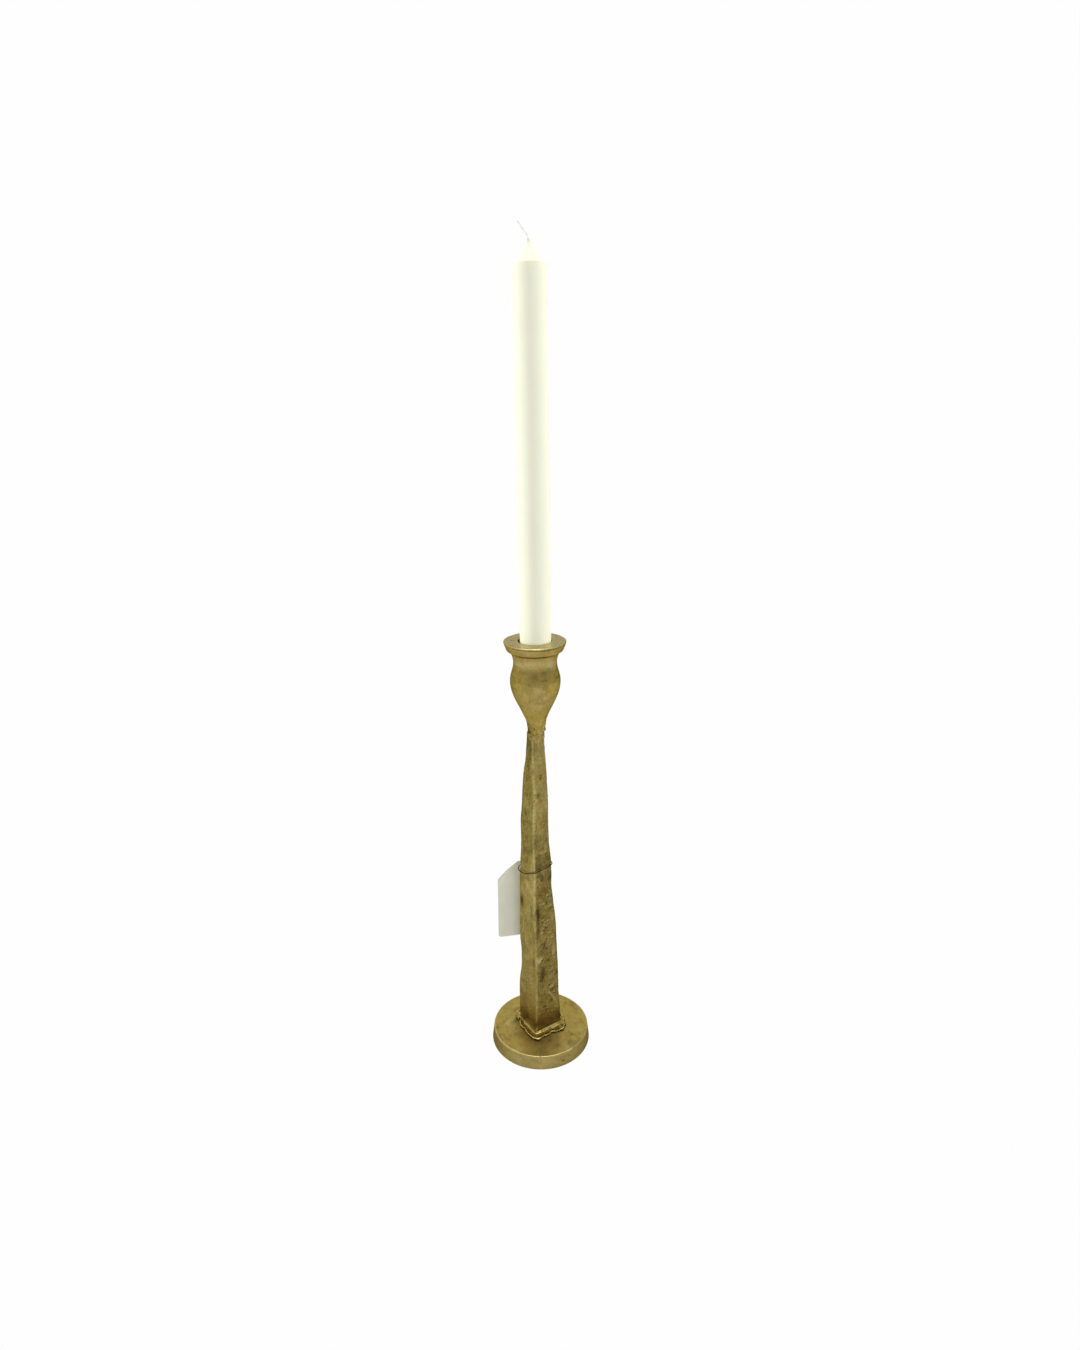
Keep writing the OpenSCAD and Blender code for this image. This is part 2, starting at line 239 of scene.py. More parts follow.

# %% [markdown]
# ## Helpers for meshes
# A few small tools serve every piece. make_piece turns points in millimetres into a mesh in the
# frame. face_outwards merges doubled points, turns the faces outwards and counts open edges.
# points_of and move_points read and write a piece's points in millimetres. paint_marks writes
# three numbers on every point, which the brass finish reads as wear with painted highlights, stain
# with painted shade and shadows, and rust-red bloom with one painted warm reflection.
# grain is a repeatable smooth noise, so that the same lumps come out on every run, and ease and
# near say where a mark starts and stops.


# %% Mesh tools
def make_piece(name, points, faces):
    mesh = bpy.data.meshes.new(name)
    mesh.from_pydata((np.asarray(points) * MM).tolist(), [], faces)
    mesh.polygons.foreach_set("use_smooth", [True] * len(mesh.polygons))
    piece = bpy.data.objects.new(name, mesh)
    bpy.context.scene.collection.objects.link(piece)
    face_outwards(piece)
    return piece


def face_outwards(piece):
    work = bmesh.new()
    work.from_mesh(piece.data)
    bmesh.ops.remove_doubles(work, verts=work.verts, dist=0.002 * MM)
    bmesh.ops.recalc_face_normals(work, faces=work.faces)
    work.to_mesh(piece.data)
    work.free()
    mesh = piece.data
    open_edges = sum(1 for count in edge_use(mesh) if count != 2)
    print(f"{piece.name}: {len(mesh.vertices)} points, {len(mesh.polygons)} faces, {open_edges} open edges")


def edge_use(mesh):
    loops = np.empty(len(mesh.loops), int)
    mesh.loops.foreach_get("edge_index", loops)
    return np.bincount(loops, minlength=len(mesh.edges))


def points_of(piece):
    flat = np.empty(len(piece.data.vertices) * 3)
    piece.data.vertices.foreach_get("co", flat)
    return flat.reshape(-1, 3) / MM


def move_points(piece, points):
    piece.data.vertices.foreach_set("co", (np.asarray(points) * MM).ravel())
    piece.data.update()


def paint(piece, name, values):
    layer = piece.data.attributes.new(name, "FLOAT", "POINT")
    layer.data.foreach_set("value", np.clip(values, 0, 1).astype(np.float32))


def paint_marks(piece, wear, stain_and_shade, bloom):
    for name, values in (("wear", wear), ("stain_and_shade", stain_and_shade), ("bloom", bloom)):
        paint(piece, name, values)


def loft_faces(rows, columns, closed):
    """Four-sided faces between rows of points that each run once round."""
    faces = []
    for k in range(rows if closed else rows - 1):
        here, above = k * columns, (k + 1) % rows * columns
        for i in range(columns):
            beside = (i + 1) % columns
            faces.append((here + i, here + beside, above + beside, above + i))
    return faces


# %% Repeatable noise
def grain(points, size, seed=0, octaves=3):
    """Smooth noise from about -1 to 1, with lumps of this size in millimetres."""
    points = np.asarray(points, float)
    tilt = np.array([[0.36, 0.48, -0.80], [-0.80, 0.60, 0.0], [0.48, 0.64, 0.60]])
    total, share, whole = 0.0, 1.0, 0.0
    for octave in range(octaves):
        points = points @ tilt.T
        place = points / size * 2**octave + 31.7 * (seed + 1) + 7.3 * octave
        cell = np.floor(place).astype(np.int64)
        inside = place - cell
        inside = inside * inside * (3 - 2 * inside)
        value = 0.0
        for corner in np.ndindex(2, 2, 2):
            at = cell + corner
            code = (at[:, 0] * 73856093) ^ (at[:, 1] * 19349663) ^ (at[:, 2] * 83492791)
            code = ((code ^ (code >> 13)) * 1274126177) & 0xFFFFFFFF
            level = ((code ^ (code >> 16)) & 0xFFFF) / 32767.5 - 1
            weight = np.prod(np.where(corner, inside, 1 - inside), axis=1)
            value = value + level * weight
        total = total + share * value
        whole += share
        share *= 0.5
    return 1.4 * total / whole


def ease(value, low, high):
    """0 below low, 1 above high, smooth between."""
    t = np.clip((np.asarray(value, float) - low) / (high - low), 0, 1)
    return t * t * (3 - 2 * t)


def near(value, middle, width):
    """1 at the middle, 0.37 at this width to either side of it, then nothing."""
    return np.exp(-(((value - middle) / width) ** 2))


# %% [markdown]
# ## Brass finish
# Old lacquered brass is never one colour: the open faces have gone olive, the edges are rubbed
# back to pale gold, and dirt sits in the grooves. One maker's recipe serves cup, bar and foot. It
# mixes an olive and a gold by two sizes of mottling on Object coordinates, then lets the painted
# wear and painted highlights lighten and polish, the painted stain and painted shade darken and
# dull, and the painted bloom and one painted warm reflection redden. A fine-grained bump gives the
# satin surface, and stretched noise gives the scratches.

# %% Start a finish
def new_look(name):
    """A material, its chain of nodes and its main shader."""
    look = bpy.data.materials.new(name)
    look.use_nodes = True
    return look, Nodes(look.node_tree), look.node_tree.nodes["Principled BSDF"]


# %% Brass recipe: metal colour
def mottled_brass(n, at, speckle, dull, bright, worn, mottle, fleck, warmth):
    """Olive and gold in patches, with warmer clouds, dark spots and small bright and dull flecks."""
    patches = n.noise(at, 95.0, 4.0, 0.6)
    tone = n.math("MULTIPLY_ADD", speckle, 0.45, n.math("MULTIPLY", patches, 0.55))
    colour = n.mix(n.spread(tone, 0.5 - 0.16 / mottle, 0.5 + 0.16 / mottle), dull, bright)
    warm_gold = (bright[0] * 1.06, bright[1] * 0.86, bright[2] * 0.95)
    clouds = n.noise(at, 170.0, 3.0, 0.7, 0.6)
    colour = n.mix(n.spread(clouds, 0.52, 0.66, 0.0, warmth), colour, warm_gold)
    dark_spots = n.math("MULTIPLY", n.spread(speckle, 0.62, 0.74), 0.35 * mottle)
    colour = n.mix(dark_spots, colour, [v * 0.35 for v in dull])
    specks = n.noise(at, 1250.0, 2.0, 0.7)
    bright_fleck = (worn[0], worn[1] * 0.95, worn[2] * 0.7)
    colour = n.mix(n.spread(specks, 0.56, 0.66, 0.0, fleck), colour, bright_fleck)
    return n.mix(n.spread(specks, 0.44, 0.34, 0.0, fleck), colour, [v * 0.45 for v in dull])


# %% Brass recipe: fine surface
def satin_height(n, at, pits, speckle, turned, scratch):
    """Height of the skin: pits, long thin scratches and, on turned pieces, fine tool rings."""
    lines = n.add("ShaderNodeMapping", Vector=at)
    n.put(lines, "Rotation", (0.3, 0.5, 0.8))
    n.put(lines, "Scale", (1800.0, 90.0, 240.0))
    scratches = n.spread(n.noise(lines.outputs[0], 1.0, 1.0), 0.63, 0.72)
    height = n.math("MULTIPLY_ADD", pits, 0.5, n.math("MULTIPLY", speckle, 0.8))
    height = n.math("MULTIPLY_ADD", scratches, -scratch, height)
    if not turned:
        return height
    x, y, z = n.add("ShaderNodeSeparateXYZ", Vector=at).outputs
    radius = n.math("SQRT", n.math("ADD", n.math("POWER", x, 2.0), n.math("POWER", y, 2.0)))
    rings = {"W": n.math("ADD", radius, z), "Scale": 4200.0, "Detail": 2.0}
    cut = n.add("ShaderNodeTexNoise", {"noise_dimensions": "1D"}, **rings).outputs["Fac"]
    return n.math("MULTIPLY_ADD", cut, turned, height)


# %% Brass recipe
rust, dirt_brown, brass_edge = (0.30, 0.125, 0.045), (0.055, 0.038, 0.018), (0.42, 0.40, 0.36, 1)


def brass_look(name, dull, bright, worn, rough, grain_bump, mottle=1.0, middle=(0, 0, 0),
               turned=0.0, scratch=0.4, fleck=0.15, warmth=0.55):
    look, n, shader = new_look(name)
    place = n.add("ShaderNodeMapping")
    n.put(place, "Vector", n.add("ShaderNodeTexCoord").outputs["Object"])
    n.put(place, "Location", [-v * MM for v in middle])
    at = place.outputs[0]
    speckle, pits = n.noise(at, 620.0, 3.0, 0.65), n.noise(at, 2300.0, 2.0, 0.6)
    colour = mottled_brass(n, at, speckle, dull, bright, worn, mottle, fleck, warmth)
    broken = n.math("MULTIPLY_ADD", pits, 0.5, n.math("MULTIPLY", speckle, 0.5))
    broken = n.spread(broken, 0.36, 0.60)
    share = n.math("MULTIPLY_ADD", broken, 0.55, 0.45)
    # The painted wear also carries painted highlights, the painted stain painted shade and shadows, and the
    # painted bloom one painted warm reflection on the cup.
    rubbed_and_highlit = n.math("MULTIPLY", n.painted("wear"), share, clamp=True)
    colour = n.mix(rubbed_and_highlit, colour, worn)
    reddened_and_reflected = n.math("MULTIPLY", n.painted("bloom"), n.math("MULTIPLY_ADD", broken, 0.5, 0.35))
    colour = n.mix(reddened_and_reflected, colour, rust)
    share = n.math("MULTIPLY_ADD", broken, -0.3, 1.0)
    dirt_and_shade = n.math("MULTIPLY", n.painted("stain_and_shade"), share, clamp=True)
    n.put(shader, "Base Color", n.mix(dirt_and_shade, colour, dirt_brown))
    shader.inputs["Metallic"].default_value = 1.0
    shader.inputs["Specular Tint"].default_value = brass_edge
    roughness = n.math("MULTIPLY_ADD", speckle, 0.22, rough - 0.11)
    roughness = n.math("MULTIPLY_ADD", rubbed_and_highlit, -0.10, roughness)
    n.put(shader, "Roughness", n.math("MULTIPLY_ADD", dirt_and_shade, 0.22, roughness, clamp=True))
    height = satin_height(n, at, pits, speckle, turned, scratch)
    bump = n.add("ShaderNodeBump", Strength=grain_bump, Distance=0.12 * MM, Height=height)
    n.put(shader, "Normal", bump.outputs[0])
    return look


# %% Four brasses
cup_middle = (-4.0, 3.5, 303)
cup_brass = brass_look(
    "cup_brass", dull=(0.44, 0.33, 0.070), bright=(0.69, 0.52, 0.118), worn=(0.90, 0.79, 0.46),
    rough=0.36, grain_bump=0.45, mottle=1.35, middle=cup_middle, turned=0.5, warmth=0.9)
bar_brass = brass_look(
    "bar_brass", dull=(0.275, 0.22, 0.054), bright=(0.53, 0.42, 0.112), worn=(0.84, 0.68, 0.28),
    rough=0.40, grain_bump=0.9, mottle=1.8, scratch=0.8, fleck=0.8, warmth=0.7)
foot_brass = brass_look(
    "foot_brass", dull=(0.38, 0.288, 0.072), bright=(0.57, 0.435, 0.108), worn=(0.86, 0.72, 0.33),
    rough=0.38, grain_bump=0.25, mottle=0.9, turned=0.35)
braze_brass = brass_look(
    "braze_brass", dull=(0.35, 0.26, 0.062), bright=(0.62, 0.47, 0.120), worn=(0.90, 0.76, 0.36),
    rough=0.34, grain_bump=0.8, mottle=1.5, fleck=0.35)
print("brass looks ready")

# %% [markdown]
# ## A lathe in Geometry Nodes
# The cup, the foot and the candle are turned or dipped round one axis, so one tree makes all
# three. It takes a half profile as a line of points and wraps a grid round it: each grid row
# copies one profile point, each column is one angle. The named inputs are the segment count, how
# much the shape wavers from true, how deep the tool marks are and the seed. Merging by distance
# closes the seam and the poles.


# %% Profile helpers
def soften(points, cut=0.2, sharp=16):
    """Rounds every sharp corner of a [radius, height] line by this cut distance."""
    points = [np.array(p, float) for p in points]
    out = [points[0]]
    for before, here, after in zip(points, points[1:], points[2:]):
        a, b = before - here, after - here
        la, lb = np.hypot(*a), np.hypot(*b)
        turn = 180 - math.degrees(math.acos(np.clip(np.dot(a, b) / la / lb, -1, 1)))
        if turn < sharp:
            out.append(here)
            continue
        reach = min(cut, 0.4 * la, 0.4 * lb)
        start, end = here + a / la * reach, here + b / lb * reach
        out += [(1 - t) ** 2 * start + 2 * t * (1 - t) * here + t * t * end for t in (0, 0.25, 0.5, 0.75, 1)]
    return out + [points[-1]]


def refine(points, step):
    """Adds points so that no span is longer than this step."""
    out = [points[0]]
    for a, b in zip(points, points[1:]):
        count = max(1, math.ceil(np.hypot(*(np.array(b) - a)) / step))
        out += [np.array(a) + (np.array(b) - a) * k / count for k in range(1, count + 1)]
    return out


# %% Lathe tree
def start_tree(name, numbers):
    """A geometry tree with a geometry socket in and out, named number inputs and a material."""
    tree = bpy.data.node_groups.new(name, "GeometryNodeTree")
    tree.interface.new_socket("Geometry", in_out="INPUT", socket_type="NodeSocketGeometry")
    for label, kind in numbers.items():
        tree.interface.new_socket(label, in_out="INPUT", socket_type=kind)
    tree.interface.new_socket("Material", in_out="INPUT", socket_type="NodeSocketMaterial")
    tree.interface.new_socket("Geometry", in_out="OUTPUT", socket_type="NodeSocketGeometry")
    n = Nodes(tree)
    return tree, n, n.add("NodeGroupInput").outputs


def end_tree(n, geometry, inputs):
    real = n.add("GeometryNodeRealizeInstances", Geometry=geometry)
    finish = n.add("GeometryNodeSetMaterial", Geometry=real.outputs[0], Material=inputs["Material"])
    out = n.add("NodeGroupOutput")
    n.put(out, 0, finish.outputs[0])


def lathe_tree():
    tree, n, inputs = start_tree("lathe", {
        "Segments": "NodeSocketInt", "Waver": "NodeSocketFloat",
        "Tool marks": "NodeSocketFloat", "Seed": "NodeSocketInt"})
    feed = inputs["Geometry"]
    count = n.add("GeometryNodeAttributeDomainSize", Geometry=feed).outputs["Point Count"]
    columns = n.math("ADD", inputs["Segments"], 1.0)
    size = {"Size_X": 1.0, "Size_Y": 1.0, "Vertices_X": columns, "Vertices_Y": count}
    grid = n.add("GeometryNodeMeshGrid", **size).outputs[0]
    position = n.add("GeometryNodeInputPosition").outputs[0]
    spot = n.add("ShaderNodeSeparateXYZ", Vector=position).outputs
    angle = n.math("MULTIPLY", n.math("ADD", spot[0], 0.5), 2 * math.pi)
    row = n.math("MULTIPLY", n.math("ADD", spot[1], 0.5), n.math("SUBTRACT", count, 1.0))
    row = n.math("ROUND", row)
    sample = n.add("GeometryNodeSampleIndex", {"data_type": "FLOAT_VECTOR"}, Geometry=feed, Index=row)
    n.put(sample, "Value", n.add("GeometryNodeInputPosition").outputs[0])
    radius, _, height = n.add("ShaderNodeSeparateXYZ", Vector=sample.outputs[0]).outputs
    cos, sin = n.math("COSINE", angle), n.math("SINE", angle)
    x, y = n.math("MULTIPLY", cos, 0.03), n.math("MULTIPLY", sin, 0.03)
    around = n.add("ShaderNodeCombineXYZ", X=x, Y=y, Z=height)
    seed = n.math("MULTIPLY", inputs["Seed"], 3.7)
    slow = {"Vector": around.outputs[0], "W": seed, "Scale": 45.0, "Detail": 1.0}
    slow = n.add("ShaderNodeTexNoise", {"noise_dimensions": "4D"}, **slow).outputs["Fac"]
    level = n.math("ADD", height, n.math("MULTIPLY", radius, 0.7))
    ring = {"W": n.math("ADD", level, seed), "Scale": 1100.0, "Detail": 2.0}
    ring = n.add("ShaderNodeTexNoise", {"noise_dimensions": "1D"}, **ring).outputs["Fac"]
    change = n.math("MULTIPLY", n.math("SUBTRACT", slow, 0.5), inputs["Waver"])
    marks = n.math("MULTIPLY", n.math("SUBTRACT", ring, 0.5), inputs["Tool marks"])
    change = n.math("MULTIPLY", n.math("ADD", change, marks), n.spread(radius, 0.0, 0.004))
    radius = n.math("ADD", radius, change)
    x, y = n.math("MULTIPLY", radius, cos), n.math("MULTIPLY", radius, sin)
    wrapped = n.add("ShaderNodeCombineXYZ", X=x, Y=y, Z=height)
    moved = n.add("GeometryNodeSetPosition", Geometry=grid, Position=wrapped.outputs[0])
    joined = n.add("GeometryNodeMergeByDistance", Geometry=moved.outputs[0], Distance=2e-6)
    end_tree(n, joined.outputs[0], inputs)
    return tree


lathe = lathe_tree()
print("lathe tree:", len(lathe.nodes), "nodes")


# %% Run a tree once
def run_tree(name, tree, points, edges, material, **settings):
    """Feeds points (mm) through a tree and keeps the plain mesh that comes out."""
    feed = bpy.data.meshes.new(name + "_feed")
    feed.from_pydata((np.asarray(points) * MM).tolist(), edges, [])
    piece = bpy.data.objects.new(name, feed)
    bpy.context.scene.collection.objects.link(piece)
    maker = piece.modifiers.new("maker", "NODES")
    maker.node_group = tree
    settings["Material"] = material
    for item in tree.interface.items_tree:
        if item.in_out == "INPUT" and item.name.replace(" ", "_") in settings:
            maker[item.identifier] = settings[item.name.replace(" ", "_")]
    shown = piece.evaluated_get(bpy.context.evaluated_depsgraph_get())
    mesh = bpy.data.meshes.new_from_object(shown)
    mesh.name = name
    piece.modifiers.remove(maker)
    piece.data = mesh
    bpy.data.meshes.remove(feed)
    mesh.polygons.foreach_set("use_smooth", [True] * len(mesh.polygons))
    face_outwards(piece)
    return piece


def turn_on_lathe(name, profile, material, segments=256, waver=0.0, marks=0.0, seed=1):
    points = [(r, 0, z) for r, z in profile]
    return run_tree(name, lathe, points, [(k, k + 1) for k in range(len(points) - 1)], material,
                    Segments=segments, Waver=waver * MM, Tool_marks=marks * MM, Seed=seed)


# %% [markdown]
# ## Candle cup
# The cup is cast and then turned: a flat rim with a thin lip, a fine groove, a sloping band, a
# hollow neck, a bulb, and a long tail down to the bar. Its half profile is drawn in millimetres
# from the rim down, with every corner softened so that it can catch a line of light. The lathe
# tree wraps it, then the points are moved to the cup's slightly leaning axis, and a few knocks
# are pushed into the rim.

# %% Cup profile
def swing(low, high, t):
    return low + (high - low) * (1 - math.cos(math.pi * t)) / 2


cup_h, rim_r, socket_r, socket_depth = 70, 22.25, 12, 26
neck_r, bulb_r, tail_r = 15.6, 18.15, 6.2
stud_r, stud_depth = 2.6, 12.3
cup_line = [(0, socket_depth), (socket_r, socket_depth), (socket_r, 0), (rim_r - 0.4, 0), (rim_r, 0.4)]
cup_line += [(rim_r, 1.1), (rim_r - 0.55, 1.5), (rim_r - 0.25, 2.0), (rim_r - 2.0, 6.2), (rim_r - 2.4, 6.6)]
cup_line += [(neck_r + 2.1 * (1 - t) ** 2, 8 + 7.5 * t) for t in np.linspace(0, 1, 12)]
cup_line += [(swing(neck_r, bulb_r, t), 15.5 + 14 * t) for t in np.linspace(0.06, 1, 20)]
cup_line += [(swing(bulb_r, tail_r, t), 29.5 + 38.5 * t) for t in np.linspace(0.03, 1, 40)]
cup_line += [(tail_r, cup_h), (stud_r, cup_h), (stud_r, cup_h - stud_depth), (0, cup_h - stud_depth)]
cup_profile = refine(soften([(r, -depth) for r, depth in cup_line], 0.18), 0.55)
cup = turn_on_lathe("turned_cup", cup_profile, cup_brass, 288, waver=0.25, marks=0.035, seed=4)

# %% Knock the cup's rim
tail_place = np.array([-3.65, 3.5, 268.5])
cup_lean = 0.6


def lean_matrix(degrees):
    a = math.radians(degrees)
    return np.array([[math.cos(a), 0, -math.sin(a)], [0, 1, 0], [math.sin(a), 0, math.cos(a)]])


# Each knock: direction round the rim in degrees, depth below the rim, width, how far in.
knocks = [
    (-128, 1.3, 2.0, 0.35), (-152, 4.0, 3.0, 0.35), (-97, 0.6, 1.2, 0.18), (-60, 0.8, 1.6, 0.25),
    (-35, 1.0, 1.4, 0.2), (25, 0.8, 2.2, 0.35), (80, 1.0, 1.8, 0.3), (140, 0.6, 2.0, 0.35),
    (-170, 0.9, 1.5, 0.25)]
own = points_of(cup)
around = np.degrees(np.arctan2(own[:, 1], own[:, 0]))
radius, depth = np.hypot(own[:, 0], own[:, 1]), -own[:, 2]
for angle, at_depth, wide, far_in in knocks:
    gap = ((around - angle + 180) % 360 - 180) * rim_r * math.pi / 180
    hit = near(gap, 0, wide) * near(depth, at_depth, wide * 0.6) * (radius > 16)
    own[:, :2] *= (1 - hit * far_in / np.maximum(radius, 1))[:, None]
print("knocks in the rim:", len(knocks))

# %% [markdown]
# ## Cast skin, drip and pinhole
# Turning leaves a little of the casting's unevenness. At the tail, filler metal has run up on to
# the cup from the left and hangs there as a drip: a raised lip with a crease under it that wanders
# round the tail, rougher metal below, and one pinhole. All of it is a push in or out from the axis.

# %% Shape the skin and the drip
rough = 0.04 * grain(own, 3.0, 5) + 0.03 * grain(own, 1.3, 14, 2)
rough -= 0.10 * ease(grain(own, 1.5, 15, 2), 0.55, 0.85) * (depth > 7)
rough *= radius > socket_r + 0.4
step_out = 0.75 * ease(depth, 56, 64) * ease(-depth, -68.2, -67.6) * near(around, -8, 30)
drag = 0.22 * ease(depth, 50, 64) * grain(own * [1, 1, 0.5], 3.0, 16, 2)
tail = ease(depth, 54, 57) * ease(-depth, -69.8, -69.2) * (radius > 4.5)
crease_round, crease_down = [-180, -150, -75, -10, 40, 180], [57, 58.4, 68.0, 68.8, 64, 57]
crease_at = np.interp(around, crease_round, crease_down) + 1.3 * grain(own, 2.8, 55)
shown = 0.25 + 0.75 * ease(around, -135, -100) * ease(grain(own, 2.4, 58), -0.6, 0.2)
drip_lip = near(depth, crease_at - 0.9, 0.7) * tail * shown
drip_crease = near(depth, crease_at, 0.45) * tail * shown
below_drip = ease(depth - crease_at, -0.2, 1.2) * tail
tail_degree = 0.108
pinhole = near((around + 100) * tail_degree, 0, 0.5) * near(depth, 65.0, 0.5) * tail
ragged = 0.22 * grain(own, 1.7, 56, 2) + 0.28 * drip_lip - 0.25 * drip_crease - 0.22 * below_drip
push = rough + (step_out + drag) * (radius > 5) + tail * (ragged - 0.9 * pinhole)
own[:, :2] *= (1 + push / np.maximum(radius, 1))[:, None]
move_points(cup, (own + [0, 0, cup_h]) @ lean_matrix(cup_lean).T + tail_place)
print(f"cup skin moved by up to {np.abs(push).max():.2f} mm")

# %% Wear and painted highlights on the cup
outside = radius > socket_r + 0.3
lip = near(depth, 0.35, 0.35) * (radius > rim_r - 0.8)
band_edge = near(depth, 2.05, 0.25) * (radius > rim_r - 1)
wear = (0.50 + 0.3 * grain(own, 5, 19)) * lip + 0.30 * band_edge + 0.95 * (depth < 0.05) * outside
wear += 0.20 * ease(grain(own, 9, 8), 0.1, 0.7) * outside
# Painted highlights: a broad lighter stripe down the front, a faint band low on the bulb and a bright band
# round the neck.
wear += 0.11 * near(around, -90, 34) * outside * (depth > 2.5)
wear += 0.08 * near(depth, 43, 9) + 0.32 * near(depth, 13.5, 3.5)
drips = grain(own, 1.5, 57, 2)
wear += 0.32 * drip_lip + 0.35 * tail * ease(drips, 0.15, 0.7)

# %% Dirt in the cup's grooves, dark lines round the bulb, and painted shade
stain_and_shade = (0.45 + 0.4 * grain(own, 6, 18)) * near(depth, 1.5, 0.22) * (radius > rim_r - 1.2)
stain_and_shade += 0.6 * near(depth, 6.8, 0.35) * (radius > 16)
wander = depth + 0.5 * grain(own, 9, 6)
# Each dark line round the bulb: depth below the rim, width, how dark.
dark_bulb_lines = [(19.2, 0.5, 0.32), (24.6, 0.8, 0.55), (26.6, 0.4, 0.35), (17.0, 0.3, 0.3), (33.5, 0.4, 0.25)]
for line_depth, thin, dark in dark_bulb_lines:
    in_parts = ease(grain(own, 7, 3 + int(line_depth)), -0.5, 0.4)
    stain_and_shade += dark * near(wander, line_depth, thin) * in_parts * outside
stain_and_shade += 0.8 * (radius < socket_r + 0.1) * (depth > 0.6) * (depth < socket_depth + 1)
stain_and_shade += 0.3 * ease(grain(own, 1.6, 9), 0.62, 0.9) * outside
stain_and_shade += 0.55 * drip_crease + 0.95 * pinhole + 0.40 * tail * ease(-drips, 0.2, 0.8)
# Painted shade: the tail's left side, below the drip and low down, is darker, as the left of the neck is in
# shade.
stain_and_shade += 0.40 * below_drip * ease(-around, 95, 125) + 0.42 * ease(depth, 62, 68) * near(around, -152, 26)
# Painted shade: the bulb is darker towards its left and right sides, away from the front.
aside = np.abs((around + 90 + 180) % 360 - 180)
stain_and_shade += 0.10 * near(depth, 27, 9) * ease(aside, 30, 55) * outside
# Painted reflection: a small warm red-brown patch in the middle of the bulb's front, from a warm figure in
# front of the cup.
bloom = 0.75 * near(depth, 22, 2.6) * near(around, -90, 9)
bloom += 0.36 * ease(grain(own, 6, 12), 0.25, 0.75) * outside
paint_marks(cup, wear, stain_and_shade, bloom)
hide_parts("candle_cup")
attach(cup, "candlestick")
print(f"cup: {np.mean(wear > 0.5):.0%} of its points worn, {np.mean(stain_and_shade > 0.5):.0%} stained")

# %% [markdown]
# ## Round foot
# The foot is a turned disc with a narrow worn edge round its top and its side a little wider at
# the table. Underneath it has the recess for the felt and the screw's hole. The counterbore round
# the screw's head is behind the felt and is left out, as the CAD foot is hidden. The same lathe
# makes the foot, with faint tool marks.

# %% Foot
foot_h, top_r, edge_round, screw_hole_r = 12.0, 38.25, 0.8, 3.3
felt_r, felt_recess, under_gap = 35.2, 1.5, 0.3
foot_line = [(screw_hole_r, foot_h)]
for a in np.linspace(0, math.pi / 2, 9):
    round_x, round_z = edge_round * (math.sin(a) - 1), edge_round * (math.cos(a) - 1)
    foot_line.append((top_r + round_x, foot_h + round_z))
foot_line += [(39.55, 1.1), (38.9, under_gap), (felt_r, under_gap), (felt_r, felt_recess)]
foot_line += [(screw_hole_r, felt_recess), (screw_hole_r, foot_h)]
foot_profile = refine(soften(foot_line, 0.25), 0.8)
foot = turn_on_lathe("turned_foot", foot_profile, foot_brass, 320, waver=0.12, marks=0.03, seed=7)

# %% Chips and a pit in the foot
own = points_of(foot)
around = np.degrees(np.arctan2(own[:, 1], own[:, 0]))
radius, high = np.hypot(own[:, 0], own[:, 1]), own[:, 2]
chip = ease(grain(own, 4.5, 15), 0.35, 0.9) * near(radius, 38.3, 0.9) * near(high, 11.6, 0.7)
own[:, 2] -= 0.22 * chip
foot_degree = 0.68
pit = near((around + 62.5) * foot_degree, 0, 0.8) * near(high, 5.2, 0.6) * (radius > 38)
own[:, :2] *= (1 - 0.5 * pit / np.maximum(radius, 1))[:, None]
move_points(foot, own)
print(f"foot: chips up to {0.22 * chip.max():.2f} mm deep, a pit {0.5 * pit.max():.2f} mm deep")

# %% Wear, stain, painted highlights and painted shade on the foot
x, y = own[:, 0], own[:, 1]
on_top, on_side = high > 11.9, high < 10.9
edge = near(radius, 38.0, 0.55) * (high > 10.6)
# Painted highlights: the whole side is lighter, most of all towards its front and back middles, and a patch on
# the top in front of the bar is lighter.
wear = 0.9 * edge * (0.75 + 0.5 * grain(own, 5, 2)) + (0.22 + 0.12 * near(x, 0, 25)) * on_side * (high > 0.5)
wear += 0.28 * near(y, -30, 9) * near(x, 0, 20) * on_top + 0.3 * ease(grain(own, 12, 21), 0.1, 0.8)
blotch = 0.30 * ease(grain(own, 9, 25), 0.0, 0.6) + 0.28 * ease(grain(own, 3.5, 26), 0.2, 0.7)
turned_lines = np.column_stack([radius * 3.0, around * 0.16, 0 * radius])
arcs = 0.28 * ease(grain(turned_lines, 2.2, 27, 2), 0.45, 0.8)
stain_and_shade = 0.95 * pit + (blotch + arcs) * (high > 11.5)
stain_and_shade += 0.22 * ease(grain(own * [1, 1, 2], 3.2, 28), 0.2, 0.7) * on_side
# Painted shade: a darker ring round the top about 21 mm out, and the top darker towards its left and right.
stain_and_shade += 0.15 * near(radius, 21, 4.5) * on_top + 0.12 * ease(np.abs(x), 14, 26) * on_top
stain_and_shade += 0.4 * ease(grain(own, 3, 17), 0.7, 1.0)
bloom = 0.6 * near(x, 0, 5) * near(y, -21.5, 2.0) * (high > 11) + 0.3 * ease(grain(own, 7, 23), 0.2, 0.8)
paint_marks(foot, wear, stain_and_shade, bloom)
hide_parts("base_disc")
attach(foot, "candlestick")
print(f"foot: {np.mean(wear > 0.5):.0%} of its points worn, {np.mean(stain_and_shade > 0.5):.0%} stained")

# %% [markdown]
# ## Square bar
# The bar was drawn out hot from a square section, so its sides swell and twist a little, its
# faces carry hammer flats and a fine scale, and its four long corners are rubbed bright. It is a
# loft: a rounded square is placed at some 520 heights, following a table of side, turn and lean,
# and every point is then pushed in or out by noise of three sizes. A loft in plain array code
# keeps the corners sharp and the table readable.

